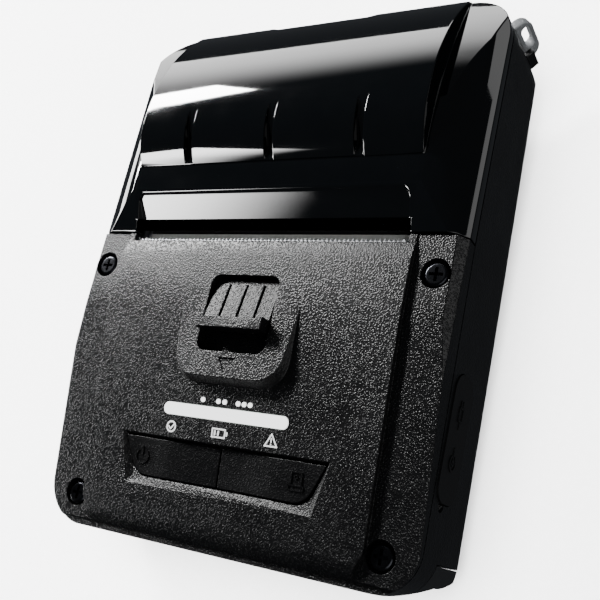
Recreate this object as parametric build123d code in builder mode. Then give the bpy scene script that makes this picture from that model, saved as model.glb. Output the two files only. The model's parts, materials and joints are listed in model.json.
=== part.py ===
"""Mobile receipt printer lying on its back: hinged roll cover, print mechanism, keys and battery.

Frame: +X to the right, +Y from the key end to the roll end, +Z up, origin under the middle of the base.
All sizes are in millimetres.
"""

import os
from math import atan2, cos, degrees, pi, radians, sin, sqrt, tan

from build123d import *

os.makedirs("parts", exist_ok=True)

# ---------------------------------------------------------------- overall case
case_length = 148.0
front_half_width = 54.0
rear_half_width = 56.0
front_corner_radius = 11.0
rear_corner_radius = 13.0
base_edge_radius = 16.0
base_dip = 0.8
case_wall = 2.2
top_wall = 2.4
seam_gap = 0.3
body_gap = 0.3
front_end = -case_length / 2
rear_end = case_length / 2

# ---------------------------------------------------------------- control face
face_origin_y = -41.0
face_origin_z = 38.0
break_y = -14.4
upper_face_z = 42.4
shoulder_drop = 1.5
plateau_front_half = 41.5
plateau_rear_half = 43.5
face_rise = upper_face_z - face_origin_z
face_run = break_y - face_origin_y
face_angle = degrees(atan2(face_rise, face_run))
front_roll_radius = 7.0
seam_front_z = 30.6
seam_rear_z = 34.3
seam_break_y = 6.0

# ---------------------------------------------------------------- roll and cover
roll_radius = 20.0
roll_width = 80.0
roll_y = 39.6
roll_z = 25.0
tray_clearance = 1.0
tray_wall = 1.2
cover_front_y = 9.4
wing_front_y = 6.4
cover_wall = 2.0
crest_y = 37.0
crest_z = 49.4
bulge_half = 43.0
band_y = 17.5
band_z = 45.3
bulge_foot_y = 24.8
bulge_foot_z = 45.0
cover_rear_z = 35.6
lip_bottom_z = 29.0
hinge_inset = 6.0
hinge_y = case_length / 2 - hinge_inset
hinge_z = 30.0
knuckle_radius = 3.1
hinge_pin_radius = 1.25
running_gap = 0.05

# ---------------------------------------------------------------- print mechanism
platen_y = 13.2
platen_z = 32.5
platen_radius = 5.0
platen_half = 40.3
shaft_radius = 2.0
shaft_half = 47.6
bush_radius = 3.2
plate_inner = 42.0
plate_thickness = 1.0
gear_module = 0.5
platen_teeth = 24
idler_teeth = 34
pinion_teeth = 12
gear_width = 1.6
gear_inner_x = plate_inner + plate_thickness + 0.4
mesh_gap = 0.12
motor_y = -12.0
motor_z = 27.0
motor_radius = 7.5
motor_length = 13.0
lock_y = 1.5
lock_z = 22.5
lock_radius = 1.5
hook_thickness = 1.1
hook_inner_x = platen_half + 0.3
tear_tip_y = 5.2
tear_half = 41.2
tooth_pitch = 1.2

# ---------------------------------------------------------------- keys, slider, door, battery
key_gap = 0.35
key_top_half = 29.8
key_foot_half = 25.2
key_top_y = -8.2
key_foot_y = -17.8
key_sink = 1.0
key_thickness = 2.6
key_travel = 0.8
pocket_rim = 2.4
light_bar_length = 37.0
light_bar_width = 3.1
slot_gap = 0.1
dot_radius = 0.6
recess_half = 10.2
recess_front_y = -26.2
recess_rear_y = -6.0
release_travel = 3.2
tongue_front_y = -15.0
door_front_y = -52.0
door_rear_y = -22.6
door_low_z = 18.4
door_high_z = 30.6
door_corner = 4.5
door_depth = 2.0
battery_half = 37.6
battery_height = 16.0
battery_rear_y = -8.0
battery_lip_rear_y = -65.2
battery_lip_top = 21.2
battery_clearance = 0.35
bay_wall = 1.6
board_z = 19.6
board_thickness = 1.6
screw_radius = 1.5
screw_hole_radius = 1.6
screw_head_radius = 3.0
counterbore_radius = 3.6
counterbore_depth = 2.2
upper_screw = (49.4, -3.5)
lower_screw = (45.0, -66.0)
shell_boss_radius = 3.0

# The control face: local x to the right, local y up the slope, local z out of the face.
face_plane = Plane(
    origin=(0, face_origin_y, face_origin_z),
    x_dir=(1, 0, 0),
    z_dir=(0, -sin(radians(face_angle)), cos(radians(face_angle))),
)
reach = 90.0


def face_z(y, drop=0.0):
    """Height of the top of the front housing above the base at y."""
    slope = tan(radians(face_angle))
    return min(face_origin_z + (y - face_origin_y) * slope, upper_face_z) - drop


def seam_z(y):
    """Height of the joint between the upper and lower shells at y."""
    share = (y - front_end) / (seam_break_y - front_end)
    return seam_front_z + (seam_rear_z - seam_front_z) * min(share, 1.0)


def save(part, name):
    """Label one finished piece and write it to its own file."""
    part.label = name
    export_step(part, f"parts/{name}.step")


def outline(inset, top):
    """Plan of the case, inset all round, as a prism from below the base up to top."""
    with BuildPart() as prism:
        with BuildSketch(Plane.XY.offset(-1)):
            with BuildLine():
                Polyline(
                    (-front_half_width + inset, front_end + inset),
                    (front_half_width - inset, front_end + inset),
                    (rear_half_width - inset, rear_end - inset),
                    (-rear_half_width + inset, rear_end - inset),
                    close=True,
                )
            make_face()
        extrude(amount=top + 1)
        front_edges = prism.edges().filter_by(Axis.Z).group_by(Axis.Y)[0]
        fillet(front_edges, front_corner_radius - inset)
        rear_edges = prism.edges().filter_by(Axis.Z).group_by(Axis.Y)[-1]
        fillet(rear_edges, rear_corner_radius - inset)
    return prism.part


def side_block(points, half=reach):
    """Straight-sided block across the case from an outline given as (y, z) points."""
    with BuildPart() as block:
        with BuildSketch(Plane.YZ):
            with BuildLine():
                Polyline(*points, close=True)
            make_face()
        extrude(amount=half, both=True)
    return block.part


def case_body(inset):
    """Lower case volume up to z 60, rounded along the base and up the rear end."""
    with BuildPart() as body:
        add(outline(inset, 60))
        with BuildSketch(Plane.YZ) as side:
            with BuildLine():
                Polyline((front_end + 4, 14), (front_end, 27), (front_end, 62))
                Polyline((front_end, 62), (rear_end, 62), (rear_end, 33))
                Line((rear_end, 33), (rear_end - 3.5, 22))
                ThreePointArc((rear_end - 3.5, 22), (rear_end - 16.0, 6.6), (rear_end - 36.0, 0))
                Line((rear_end - 36.0, 0), (front_end + 16, 0))
                ThreePointArc((front_end + 16, 0), (front_end + 7.5, 4.2), (front_end + 4, 14))
            make_face()
            if inset:
                offset(amount=-inset, mode=Mode.REPLACE)
        extrude(amount=reach, both=True, mode=Mode.INTERSECT)
        with BuildSketch(Plane.XZ) as section:
            width = rear_half_width - inset
            with Locations((0, 40)):
                Rectangle(2 * width, 2 * (40 - inset + base_dip))
            low_corners = section.vertices().group_by(Axis.Y)[0]
            fillet(low_corners, base_edge_radius - inset)
        extrude(amount=reach, both=True, mode=Mode.INTERSECT)
    return body.part


body_outer = case_body(0)
body_inner = case_body(case_wall)


def below_seam(gap=0.0):
    """Block that fills everything under the shell joint."""
    return side_block(
        [
            (-reach, -5),
            (reach, -5),
            (reach, seam_rear_z - gap),
            (seam_break_y, seam_rear_z - gap),
            (front_end, seam_front_z - gap),
            (-reach, seam_front_z - gap),
        ]
    )


def above_seam(gap=0.0):
    """Block that fills everything over the shell joint."""
    return side_block(
        [
            (-reach, 70),
            (reach, 70),
            (reach, seam_rear_z + gap),
            (seam_break_y, seam_rear_z + gap),
            (front_end, seam_front_z + gap),
            (-reach, seam_front_z + gap),
        ]
    )


def box_between(low, high):
    """Box between two opposite corners."""
    size = [b - a for a, b in zip(low, high)]
    middle = [(a + b) / 2 for a, b in zip(low, high)]
    with BuildPart() as block:
        with Locations(tuple(middle)):
            Box(*size)
    return block.part


def rod(radius, x0, x1, y, z):
    """Round bar along X."""
    with BuildPart() as bar:
        with BuildSketch(Plane.YZ.offset(x0)):
            with Locations((y, z)):
                Circle(radius)
        extrude(amount=x1 - x0)
    return bar.part


def post(radius, x, y, z0, z1):
    """Round post along Z."""
    with BuildPart() as column:
        with BuildSketch(Plane.XY.offset(z0)):
            with Locations((x, y)):
                Circle(radius)
        extrude(amount=z1 - z0)
    return column.part


def coil_spring(start, direction, wire, mean_radius, length, turns):
    """Round-wire coil spring from start along direction."""
    pitch = length / turns
    with BuildPart() as spring:
        with BuildLine():
            path = Helix(pitch=pitch, height=length, radius=mean_radius, center=start, direction=direction)
        with BuildSketch(Plane(origin=path @ 0, z_dir=path % 0)):
            Circle(wire / 2)
        sweep(path=path)
    return spring.part


# ================================================================ front housing
def housing_volume(inset, drop):
    """Volume under the control face: lower slope, level upper face, lip over the tear bar."""
    points = [
        (front_end + inset, 20),
        (front_end + inset, face_z(front_end, drop)),
        (break_y, face_z(break_y, drop)),
        (-0.6, upper_face_z - drop),
        (3.9, upper_face_z - 1.1 - drop),
        (3.9, 20),
    ]
    with BuildPart() as volume:
        add(side_block(points))
        front_top = volume.edges().filter_by(Axis.X).sort_by(Axis.Y)[0:2].sort_by(Axis.Z)[-1]
        fillet(front_top, front_roll_radius - inset)
        add(outline(inset, 60), mode=Mode.INTERSECT)
    return volume.part


def shoulder_strips(drop):
    """Two side strips over the shoulders, left after the raised middle of the face."""
    with BuildPart() as strips:
        with BuildSketch():
            for side in (-1, 1):
                with BuildLine():
                    Polyline(
                        (side * plateau_front_half, front_end + 8),
                        (side * plateau_rear_half, break_y),
                        (side * plateau_rear_half, reach),
                        (side * reach, reach),
                        (side * reach, -reach),
                        (side * (plateau_front_half - 3), -reach),
                        (side * (plateau_front_half - 3), front_end + 2),
                        close=True,
                    )
                make_face()
        extrude(amount=70)
        lowered = [
            (-reach, face_z(-reach, drop)),
            (break_y, face_z(break_y, drop)),
            (reach, upper_face_z - drop),
            (reach, 70),
            (-reach, 70),
        ]
        add(side_block(lowered), mode=Mode.INTERSECT)
    return strips.part


def side_bevels(inset):
    """Long wedges that cut the bevel between the shoulders and the side walls."""
    with BuildPart() as wedges:
        with BuildSketch(Plane.XZ):
            for side in (-1, 1):
                with BuildLine():
                    Polyline(
                        (side * (rear_half_width + 0.6 - inset), 36.0 - inset),
                        (side * (rear_half_width - 3.0 - inset), 41.0 - inset),
                        (side * (rear_half_width - 3.0 - inset), 70),
                        (side * reach, 70),
                        (side * reach, 36.0 - inset),
                        close=True,
                    )
                make_face()
        extrude(amount=reach, both=True)
    return wedges.part


def face_prism(points, low, high):
    """Prism on the control face from a closed list of (x, y) points."""
    with BuildPart() as prism:
        with BuildSketch(face_plane.offset(low)):
            with BuildLine():
                Polyline(*points, close=True)
            make_face()
        extrude(amount=high - low)
    return prism.part


def trapezoid(top_half, foot_half, top_y, foot_y, grow=0.0):
    """Corner points of a level trapezoid, grown outwards by a margin."""
    return [
        (-top_half - grow, top_y + grow),
        (top_half + grow, top_y + grow),
        (foot_half + grow, foot_y - grow),
        (-foot_half - grow, foot_y - grow),
    ]


boss_front_y = face_origin_y + 8.3
boss_plane = Plane(origin=(0, 0, upper_face_z), x_dir=(1, 0, 0), z_dir=(0, 0, -1))
with BuildPart() as boss:
    with BuildSketch(boss_plane) as boss_outline:
        with BuildLine():
            Polyline(
                (-17.5, -break_y - 2),
                (17.5, -break_y - 2),
                (15.2, -boss_front_y),
                (-15.2, -boss_front_y),
                close=True,
            )
        make_face()
        fillet(boss_outline.vertices().group_by(Axis.Y)[-1], 7.0)
    extrude(amount=8.0, taper=-22)
boss_low = boss.part

recess_middle_y = (recess_front_y + recess_rear_y) / 2
recess_length = recess_rear_y - recess_front_y
seat_upper = upper_face_z - shoulder_drop
seat_lower = face_z(lower_screw[1], shoulder_drop)
pillar_joint_z = seat_lower - counterbore_depth - 1.6
screw_places = [
    (upper_screw[0], upper_screw[1], seat_upper),
    (-upper_screw[0], upper_screw[1], seat_upper),
    (lower_screw[0], lower_screw[1], seat_lower),
    (-lower_screw[0], lower_screw[1], seat_lower),
]
wall_top_half = key_top_half + key_gap
wall_foot_half = key_foot_half + key_gap

with BuildPart() as front_shell:
    add(housing_volume(0, 0))
    add(box_between((-reach, 3.0, 20), (reach, 6.0, upper_face_z - 1.2)))
    add(outline(0, 60), mode=Mode.INTERSECT)
    add(shoulder_strips(shoulder_drop), mode=Mode.SUBTRACT)
    add(side_bevels(0), mode=Mode.SUBTRACT)
    add(boss_low)
    with BuildPart(mode=Mode.PRIVATE) as hollow:
        add(housing_volume(case_wall, top_wall))
        add(shoulder_strips(shoulder_drop + top_wall), mode=Mode.SUBTRACT)
        add(side_bevels(case_wall), mode=Mode.SUBTRACT)
    add(hollow.part, mode=Mode.SUBTRACT)
    # The lip over the tear bar, open between the shoulders for the paper.
    lip_half = tear_half + 0.4
    add(box_between((-lip_half, 0.9, 20), (lip_half, 7, upper_face_z - 2.1)), mode=Mode.SUBTRACT)
    add(box_between((-lip_half, 3.9, 20), (lip_half, 7, 60)), mode=Mode.SUBTRACT)
    rear_inner = rear_half_width - case_wall
    add(box_between((-rear_inner, 2, 20), (rear_inner, 7, 38.4)), mode=Mode.SUBTRACT)
    # Screw pillars under the shoulders.
    for x, y, seat in screw_places:
        add(post(shell_boss_radius + 0.9, x, y, seam_z(y) + seam_gap, seat - 1.0))
    add(above_seam(seam_gap / 2), mode=Mode.INTERSECT)
    for x in (-lower_screw[0], lower_screw[0]):
        add(post(shell_boss_radius + 0.9, x, lower_screw[1], pillar_joint_z, seat_lower - 1.0))
    for x, y, seat in screw_places:
        add(post(counterbore_radius, x, y, seat - counterbore_depth, 60), mode=Mode.SUBTRACT)
        add(post(screw_hole_radius, x, y, 20, 60), mode=Mode.SUBTRACT)
    # Tray for the release slider.
    with BuildSketch(Plane.XY.offset(upper_face_z - 5.2)):
        with Locations((0, recess_middle_y)):
            RectangleRounded(2 * recess_half + 3, recess_length + 3, 3.5)
    extrude(amount=4.0)
    with BuildSketch(Plane.XY.offset(upper_face_z - 4.0)):
        with Locations((0, recess_middle_y)):
            RectangleRounded(2 * recess_half, recess_length, 2.5)
    extrude(amount=12.0, mode=Mode.SUBTRACT)
    slot_front_y = tongue_front_y - release_travel - 0.2
    add(box_between((-4.2, slot_front_y, 30), (4.2, -7.4, 40)), mode=Mode.SUBTRACT)
    # Direction mark pressed into the boss ahead of the slider.
    with BuildSketch(Plane.XY.offset(upper_face_z - 0.4)):
        with BuildLine():
            Polyline((-2.5, -27.7), (2.5, -27.7), (0, -31.7), close=True)
        make_face()
    extrude(amount=2, mode=Mode.SUBTRACT)
    # Key pocket: sloping rim down to the level of the keys, then straight through.
    with BuildSketch(face_plane.offset(-key_sink)):
        with BuildLine():
            pocket_wall = trapezoid(wall_top_half, wall_foot_half, key_top_y + key_gap, key_foot_y - key_gap)
            Polyline(*pocket_wall, close=True)
        make_face()
    with BuildSketch(face_plane.offset(0.2)):
        with BuildLine():
            Polyline(
                (-wall_top_half - 0.8, key_top_y + key_gap + 0.6),
                (wall_top_half + 0.8, key_top_y + key_gap + 0.6),
                (wall_foot_half + pocket_rim, key_foot_y - key_gap - pocket_rim),
                (-wall_foot_half - pocket_rim, key_foot_y - key_gap - pocket_rim),
                close=True,
            )
        make_face()
    loft(mode=Mode.SUBTRACT)
    keyhole = trapezoid(key_top_half, key_foot_half, key_top_y, key_foot_y, key_gap)
    add(face_prism(keyhole, -6, 1), mode=Mode.SUBTRACT)
    with BuildSketch(face_plane.offset(-6)):
        SlotOverall(light_bar_length + 2 * slot_gap, light_bar_width + 2 * slot_gap)
    extrude(amount=8, mode=Mode.SUBTRACT)
    dot_places = [(-6.8, 3.1), (-2.1, 3.1), (-0.2, 3.1), (3.8, 3.1), (5.55, 3.1), (7.3, 3.1)]
    with BuildSketch(face_plane.offset(-6)):
        with Locations(*dot_places):
            Circle(dot_radius + slot_gap / 2)
    extrude(amount=8, mode=Mode.SUBTRACT)
save(front_shell.part, "front_shell")

# ---------------------------------------------------------------- lights under the face
with BuildPart() as light_bar:
    with BuildSketch(face_plane.offset(-5.4)):
        SlotOverall(light_bar_length, light_bar_width)
    extrude(amount=5.5)
save(light_bar.part, "light_bar")

with BuildPart() as light_dots:
    with BuildSketch(face_plane.offset(-5.4)):
        with Locations(*dot_places):
            Circle(dot_radius)
    extrude(amount=5.5)
save(light_dots.part, "light_dots")

# ---------------------------------------------------------------- keys
key_back = -key_sink - key_thickness
key_crown = -key_sink + 0.5
dish_half = 16.7
dish_depth = 0.8
dish_radius = (dish_half**2 + dish_depth**2) / (2 * dish_depth)
dish_plane = Plane(
    origin=face_plane.from_local_coords((0, key_foot_y - 4, 0)),
    x_dir=(1, 0, 0),
    z_dir=-face_plane.y_dir,
)


def key_outline(side, grow=0.0):
    """Corner points of one key: half of the trapezoid on its own side of the split."""
    return [
        (side * key_gap / 2, key_top_y + grow),
        (side * (key_top_half + grow), key_top_y + grow),
        (side * (key_foot_half + grow), key_foot_y - grow),
        (side * key_gap / 2, key_foot_y - grow),
    ]


def make_key(side):
    """One push key: shallow dish towards the middle and a flange that keeps it in."""
    with BuildPart() as key:
        add(face_prism(key_outline(side), key_back, key_crown))
        with BuildSketch(dish_plane):
            with Locations((0, key_crown - dish_depth + dish_radius)):
                Circle(dish_radius)
        extrude(amount=-20, mode=Mode.SUBTRACT)
        add(face_prism(key_outline(side, 1.2), key_back, -top_wall - body_gap))
    return key.part


save(make_key(-1), "power_key")
save(make_key(1), "feed_key")

mat_top = key_back - key_travel - 0.3
mat_thickness = 1.2
key_board_top = mat_top - mat_thickness
key_board_thickness = 1.2
mat_half = 26.0
key_post_places = [(-33.5, -12.5), (33.5, -12.5), (-24.0, 5.5), (24.0, 5.5)]

with BuildPart() as key_mat:
    with BuildSketch(face_plane.offset(key_board_top)) as mat_outline:
        with Locations((0, -13)):
            Rectangle(2 * mat_half, 9)
        fillet(mat_outline.vertices(), 1.5)
    extrude(amount=mat_thickness * 0.5)
    with BuildSketch(face_plane.offset(key_board_top)):
        with Locations((-17, -13), (17, -13)):
            Circle(3.0)
    extrude(amount=mat_thickness)
save(key_mat.part, "key_mat")

with BuildPart() as key_board:
    with BuildSketch(face_plane.offset(key_board_top - key_board_thickness)):
        with Locations((0, -5.5)):
            Rectangle(74, 28)
    extrude(amount=key_board_thickness)
    with BuildSketch(face_plane.offset(key_board_top)):
        with Locations((-14, 0), (0, 0), (14, 0)):
            Rectangle(3, 2)
    extrude(amount=0.3)
save(key_board.part, "key_board")

# ================================================================ lower shell
def gear_centre(ya, za, ra, yb, zb, rb):
    """Lower centre that stands ra from one axis and rb from another."""
    span = sqrt((yb - ya) ** 2 + (zb - za) ** 2)
    along = (ra**2 - rb**2 + span**2) / (2 * span)
    across = sqrt(ra**2 - along**2)
    uy, uz = (yb - ya) / span, (zb - za) / span
    return ya + along * uy + across * uz, za + along * uz - across * uy


def pitch_radius(teeth):
    """Pitch radius of a gear of this module."""
    return teeth * gear_module / 2


pinion_pitch = pitch_radius(pinion_teeth)
idler_pitch = pitch_radius(idler_teeth)
platen_pitch = pitch_radius(platen_teeth)
motor_reach = pinion_pitch + idler_pitch + mesh_gap
platen_reach = idler_pitch + platen_pitch + mesh_gap
idler_y, idler_z = gear_centre(motor_y, motor_z, motor_reach, platen_y, platen_z, platen_reach)

bay_half = battery_half + battery_clearance
bay_top = battery_height + battery_clearance
door_middle_y = (door_front_y + door_rear_y) / 2
door_middle_z = (door_low_z + door_high_z) / 2
door_length = door_rear_y - door_front_y
door_height = door_high_z - door_low_z
window_margin = 2.0
frame_floor_z = 19.0
frame_floor_thickness = 1.0
frame_post_places = [(-32.0, 5.4), (32.0, 5.4)]
board_post_places = [(-34.0, -50.0), (34.0, -50.0), (-20.0, -22.0), (34.0, -16.0)]


def door_prism(grow, x0=46.0):
    """Rounded slab through the right wall where the port door sits."""
    with BuildPart() as slab:
        with BuildSketch(Plane.YZ.offset(x0)):
            with Locations((door_middle_y, door_middle_z)):
                RectangleRounded(door_length + 2 * grow, door_height + 2 * grow, door_corner + grow)
        extrude(amount=14)
    return slab.part


latch_x = 20.0
hinge_trough = [
    (hinge_y - 3.9, 60),
    (hinge_y - 3.9, hinge_z - 2.8),
    (hinge_y - 2.0, hinge_z - 6.8),
    (hinge_y + 2.5, hinge_z - 8.5),
    (rear_end + 6.0, hinge_z - 13.0),
    (rear_end + 6.0, 60),
]
case_knuckle_x = [(-43.0, -35.0), (35.0, 43.0)]
cover_knuckle_x = [(-34.6, -26.6), (26.6, 34.6)]
lug_location = Location((rear_half_width - rear_corner_radius, rear_end - rear_corner_radius, 0), (0, 0, 45))
lug_inner = rear_corner_radius + 0.2
lug_outer = rear_corner_radius + 5.0
lug_thickness = 3.0
lug_low_z, lug_high_z = 14.0, 27.8
ear_inner, ear_outer = 3.0, rear_corner_radius + 2.0
ear_low_z, ear_high_z = 12.6, 18.0

with BuildPart() as rear_shell:
    add(body_outer)
    add(body_inner, mode=Mode.SUBTRACT)
    # Battery bay: side walls, roof, rear wall and the closed corner above the pack's lip.
    bay_outer = bay_half + bay_wall
    add(box_between((-bay_outer, front_end + 4, 0.2), (bay_outer, -4.6, bay_top + bay_wall)))
    lip_room = battery_clearance
    add(box_between((-53, front_end + 1.5, battery_lip_top + lip_room), (53, battery_lip_rear_y + 2, 23.4)))
    lip_wall_y = battery_lip_rear_y + lip_room
    add(box_between((-53, lip_wall_y, 1.5), (53, lip_wall_y + bay_wall, 23.4)))
    # Screw pillars, mechanism posts and board posts.
    for x, y in (upper_screw, (-upper_screw[0], upper_screw[1])):
        add(post(shell_boss_radius, x, y, 4, seam_z(y) - seam_gap))
    for x, y in (lower_screw, (-lower_screw[0], lower_screw[1])):
        add(post(shell_boss_radius + 0.6, x, y, 22, pillar_joint_z - 0.1))
    for x, y in frame_post_places:
        add(post(3.5, x, y, 1.5, frame_floor_z - 0.1))
    for x, y in board_post_places:
        add(post(2.4, x, y, bay_top + bay_wall - 0.5, board_z - 0.1))
    # Rear wall ahead of the cover hinge.
    add(box_between((-53, hinge_y - 5.7, 3), (53, hinge_y - 3.9, 34)))
    # Backing around the port door.
    add(box_between((50.2, door_front_y - 3, 15.5), (54, door_rear_y + 3, seam_z(door_front_y) - 0.4)))
    add(body_outer, mode=Mode.INTERSECT)
    add(below_seam(seam_gap / 2), mode=Mode.INTERSECT)
    add(side_block(hinge_trough), mode=Mode.SUBTRACT)
    # Room for the battery pack, open at the front and underneath.
    bay_rear_y = battery_rear_y + battery_clearance
    add(box_between((-bay_half, -reach, -2), (bay_half, bay_rear_y, bay_top)), mode=Mode.SUBTRACT)
    add(
        box_between((-reach, -reach, -2), (reach, battery_lip_rear_y + lip_room, battery_lip_top + lip_room)),
        mode=Mode.SUBTRACT,
    )
    # Port door seat and the window behind it.
    with BuildPart(mode=Mode.PRIVATE) as door_seat:
        add(door_prism(0.25))
        add(case_body(door_depth), mode=Mode.SUBTRACT)
    add(door_seat.part, mode=Mode.SUBTRACT)
    add(door_prism(-window_margin, 44.0), mode=Mode.SUBTRACT)
    with Locations((54.5, door_front_y - 0.4, door_high_z - 4.5)):
        Sphere(1.7, mode=Mode.SUBTRACT)
    # Screw pilots.
    for x, y in (upper_screw, (-upper_screw[0], upper_screw[1])):
        add(post(screw_hole_radius, x, y, 14, 50), mode=Mode.SUBTRACT)
    for x, y in (lower_screw, (-lower_screw[0], lower_screw[1])):
        add(post(screw_hole_radius, x, y, 22.6, 50), mode=Mode.SUBTRACT)
    for x, y in frame_post_places:
        add(post(screw_hole_radius, x, y, 8, 50), mode=Mode.SUBTRACT)
    # Hinge knuckles with webs to the rear wall.
    for x0, x1 in case_knuckle_x:
        add(rod(knuckle_radius, x0, x1, hinge_y, hinge_z))
        add(box_between((x0, hinge_y - 5.0, hinge_z - 2.5), (x1, hinge_y - 1.5, hinge_z + 2.5)))
        add(rod(hinge_pin_radius + running_gap, x0 - 1, x1 + 1, hinge_y, hinge_z), mode=Mode.SUBTRACT)
    # Battery latch slot in the base and the pocket for the contact block.
    add(box_between((latch_x - 8.3, -5.2, -1), (latch_x + 8.3, 8.3, 1.8)), mode=Mode.SUBTRACT)
    add(box_between((latch_x - 5.7, -9.0, -1), (latch_x + 5.7, -4.0, 1.6)), mode=Mode.SUBTRACT)
    add(box_between((-9.8, -9.0, 4.3), (9.8, -6.6, 11.8)), mode=Mode.SUBTRACT)
    # Slotted ear for the strap lug at the rear right corner.
    with BuildSketch(Plane.XY.offset(ear_low_z)):
        with Locations(lug_location):
            with Locations(((ear_inner + ear_outer) / 2, 0)):
                Rectangle(ear_outer - ear_inner, lug_thickness + 3.4)
            with Locations((lug_inner + 5, 0)):
                Rectangle(10 + 0.2, lug_thickness + 0.2, mode=Mode.SUBTRACT)
    extrude(amount=ear_high_z - ear_low_z)
save(rear_shell.part, "rear_shell")

# ---------------------------------------------------------------- shell screws
def pan_screw(x, y, seat, length, head_radius=screw_head_radius, head_height=1.9):
    """Pan head screw with a cross recess, head up, seated at the given height."""
    with BuildPart() as screw:
        add(post(screw_radius, x, y, seat - length, seat))
        add(post(head_radius, x, y, seat, seat + head_height))
        top = screw.edges().sort_by(Axis.Z)[-1]
        fillet(top, head_height * 0.45)
        with BuildSketch(Plane.XY.offset(seat + head_height - 1.0)):
            with Locations((x, y)):
                Rectangle(head_radius * 1.15, 0.75)
                Rectangle(0.75, head_radius * 1.15)
        extrude(amount=2, mode=Mode.SUBTRACT)
    return screw.part


def screw_group(places, name, head_radius=screw_head_radius, head_height=1.9):
    """Several screws as separate solids in one piece, each given as (x, y, seat, length)."""
    screws = [pan_screw(x, y, seat, length, head_radius, head_height) for x, y, seat, length in places]
    save(Compound(children=[Solid(screw.solid().wrapped) for screw in screws]), name)


screw_lengths = [12.0, 12.0, 6.6, 6.6]
screw_group(
    [(x, y, seat - counterbore_depth, length) for (x, y, seat), length in zip(screw_places, screw_lengths)],
    "shell_screws",
)

# ================================================================ battery
with BuildPart() as battery_pack:
    add(box_between((-battery_half, front_end + 2, -1), (battery_half, battery_rear_y, battery_height)))
    add(box_between((-reach, -reach, -1), (reach, battery_lip_rear_y, battery_lip_top)))
    add(body_outer, mode=Mode.INTERSECT)
    # Catch notch for the latch and the contact slots at the rear end.
    add(box_between((latch_x - 6.0, battery_rear_y - 3.0, -1), (latch_x + 6.0, 0, 1.7)), mode=Mode.SUBTRACT)
    for x in (-6, 0, 6):
        add(box_between((x - 0.8, battery_rear_y - 2.5, 5), (x + 0.8, 0, 11)), mode=Mode.SUBTRACT)
save(battery_pack.part, "battery_pack")

with BuildPart() as battery_latch:
    add(box_between((latch_x - 8.0, -4.9, 0.4), (latch_x + 8.0, 4.6, 1.5)))
    add(box_between((latch_x - 5.4, battery_rear_y - 1.8, 0.4), (latch_x + 5.4, -4.0, 1.3)))
    for y in (-2.5, -0.5, 1.5):
        add(box_between((latch_x - 6, y, -1), (latch_x + 6, y + 0.8, 0.8)), mode=Mode.SUBTRACT)
save(battery_latch.part, "battery_latch")

with BuildPart() as battery_contacts:
    add(box_between((-9.5, battery_rear_y + battery_clearance + 0.1, 4.6), (9.5, -6.9, 11.5)))
    for x in (-6, 0, 6):
        add(box_between((x - 0.4, battery_rear_y - 2.0, 6), (x + 0.4, -7.0, 10)))
save(battery_contacts.part, "battery_contacts")

# ================================================================ port door, sockets, board
with BuildPart() as port_door:
    add(door_prism(0))
    add(case_body(-0.3), mode=Mode.INTERSECT)
    add(case_body(door_depth - 0.3), mode=Mode.SUBTRACT)
save(port_door.part, "port_door")

board_top = board_z + board_thickness
socket_face_x = 51.0
usb_y = -44.5
dc_y = -31.5
dc_bore_radius = 2.8
dc_bore_length = 8.0
dc_z = board_top + 3.5
with BuildPart() as main_board:
    with BuildSketch(Plane.XY.offset(board_z)):
        with BuildLine():
            Polyline(
                (-44, -61), (44, -61), (44, -51), (49, -51), (49, -24), (44, -24), (44, -8), (26, -8),
                (26, -21), (-26, -21), (-26, -22.5), (-44, -22.5),
                close=True,
            )
        make_face()
    extrude(amount=board_thickness)
    for x, y in board_post_places:
        add(post(1.3, x, y, board_z - 1, board_z + 4), mode=Mode.SUBTRACT)
save(main_board.part, "main_board")

with BuildPart() as board_chips:
    for x, y, dx, dy, dz in [
        (0, -42, 14, 14, 1.6), (-22, -38, 9, 6, 1.4), (20, -40, 8, 8, 1.4), (-10, -56, 12, 4, 2.4),
        (26, -56, 7, 7, 4.0), (-34, -30, 6, 10, 5.0), (8, -27, 10, 5, 1.2), (36, -36, 5, 5, 3.0),
    ]:
        add(box_between((x - dx / 2, y - dy / 2, board_top), (x + dx / 2, y + dy / 2, board_top + dz)))
save(board_chips.part, "board_chips")

with BuildPart() as usb_socket:
    add(box_between((socket_face_x - 7, usb_y - 4.4, board_top), (socket_face_x, usb_y + 4.4, board_top + 4.4)))
    mouth_low = (socket_face_x - 5.5, usb_y - 3.8, board_top + 0.8)
    mouth_high = (socket_face_x + 1, usb_y + 3.8, board_top + 3.8)
    add(box_between(mouth_low, mouth_high), mode=Mode.SUBTRACT)
    leaf_low = (socket_face_x - 6.5, usb_y - 3.0, board_top + 1.9)
    leaf_high = (socket_face_x - 1, usb_y + 3.0, board_top + 2.6)
    add(box_between(leaf_low, leaf_high))
save(usb_socket.part, "usb_socket")

with BuildPart() as dc_socket:
    add(box_between((socket_face_x - 11, dc_y - 4.5, board_top), (socket_face_x, dc_y + 4.5, board_top + 7.0)))
    bore_end_x = socket_face_x - dc_bore_length
    add(rod(dc_bore_radius, bore_end_x, socket_face_x + 1, dc_y, dc_z), mode=Mode.SUBTRACT)
    add(rod(0.8, bore_end_x - 0.5, socket_face_x - 1.5, dc_y, dc_z))
save(dc_socket.part, "dc_socket")

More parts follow.
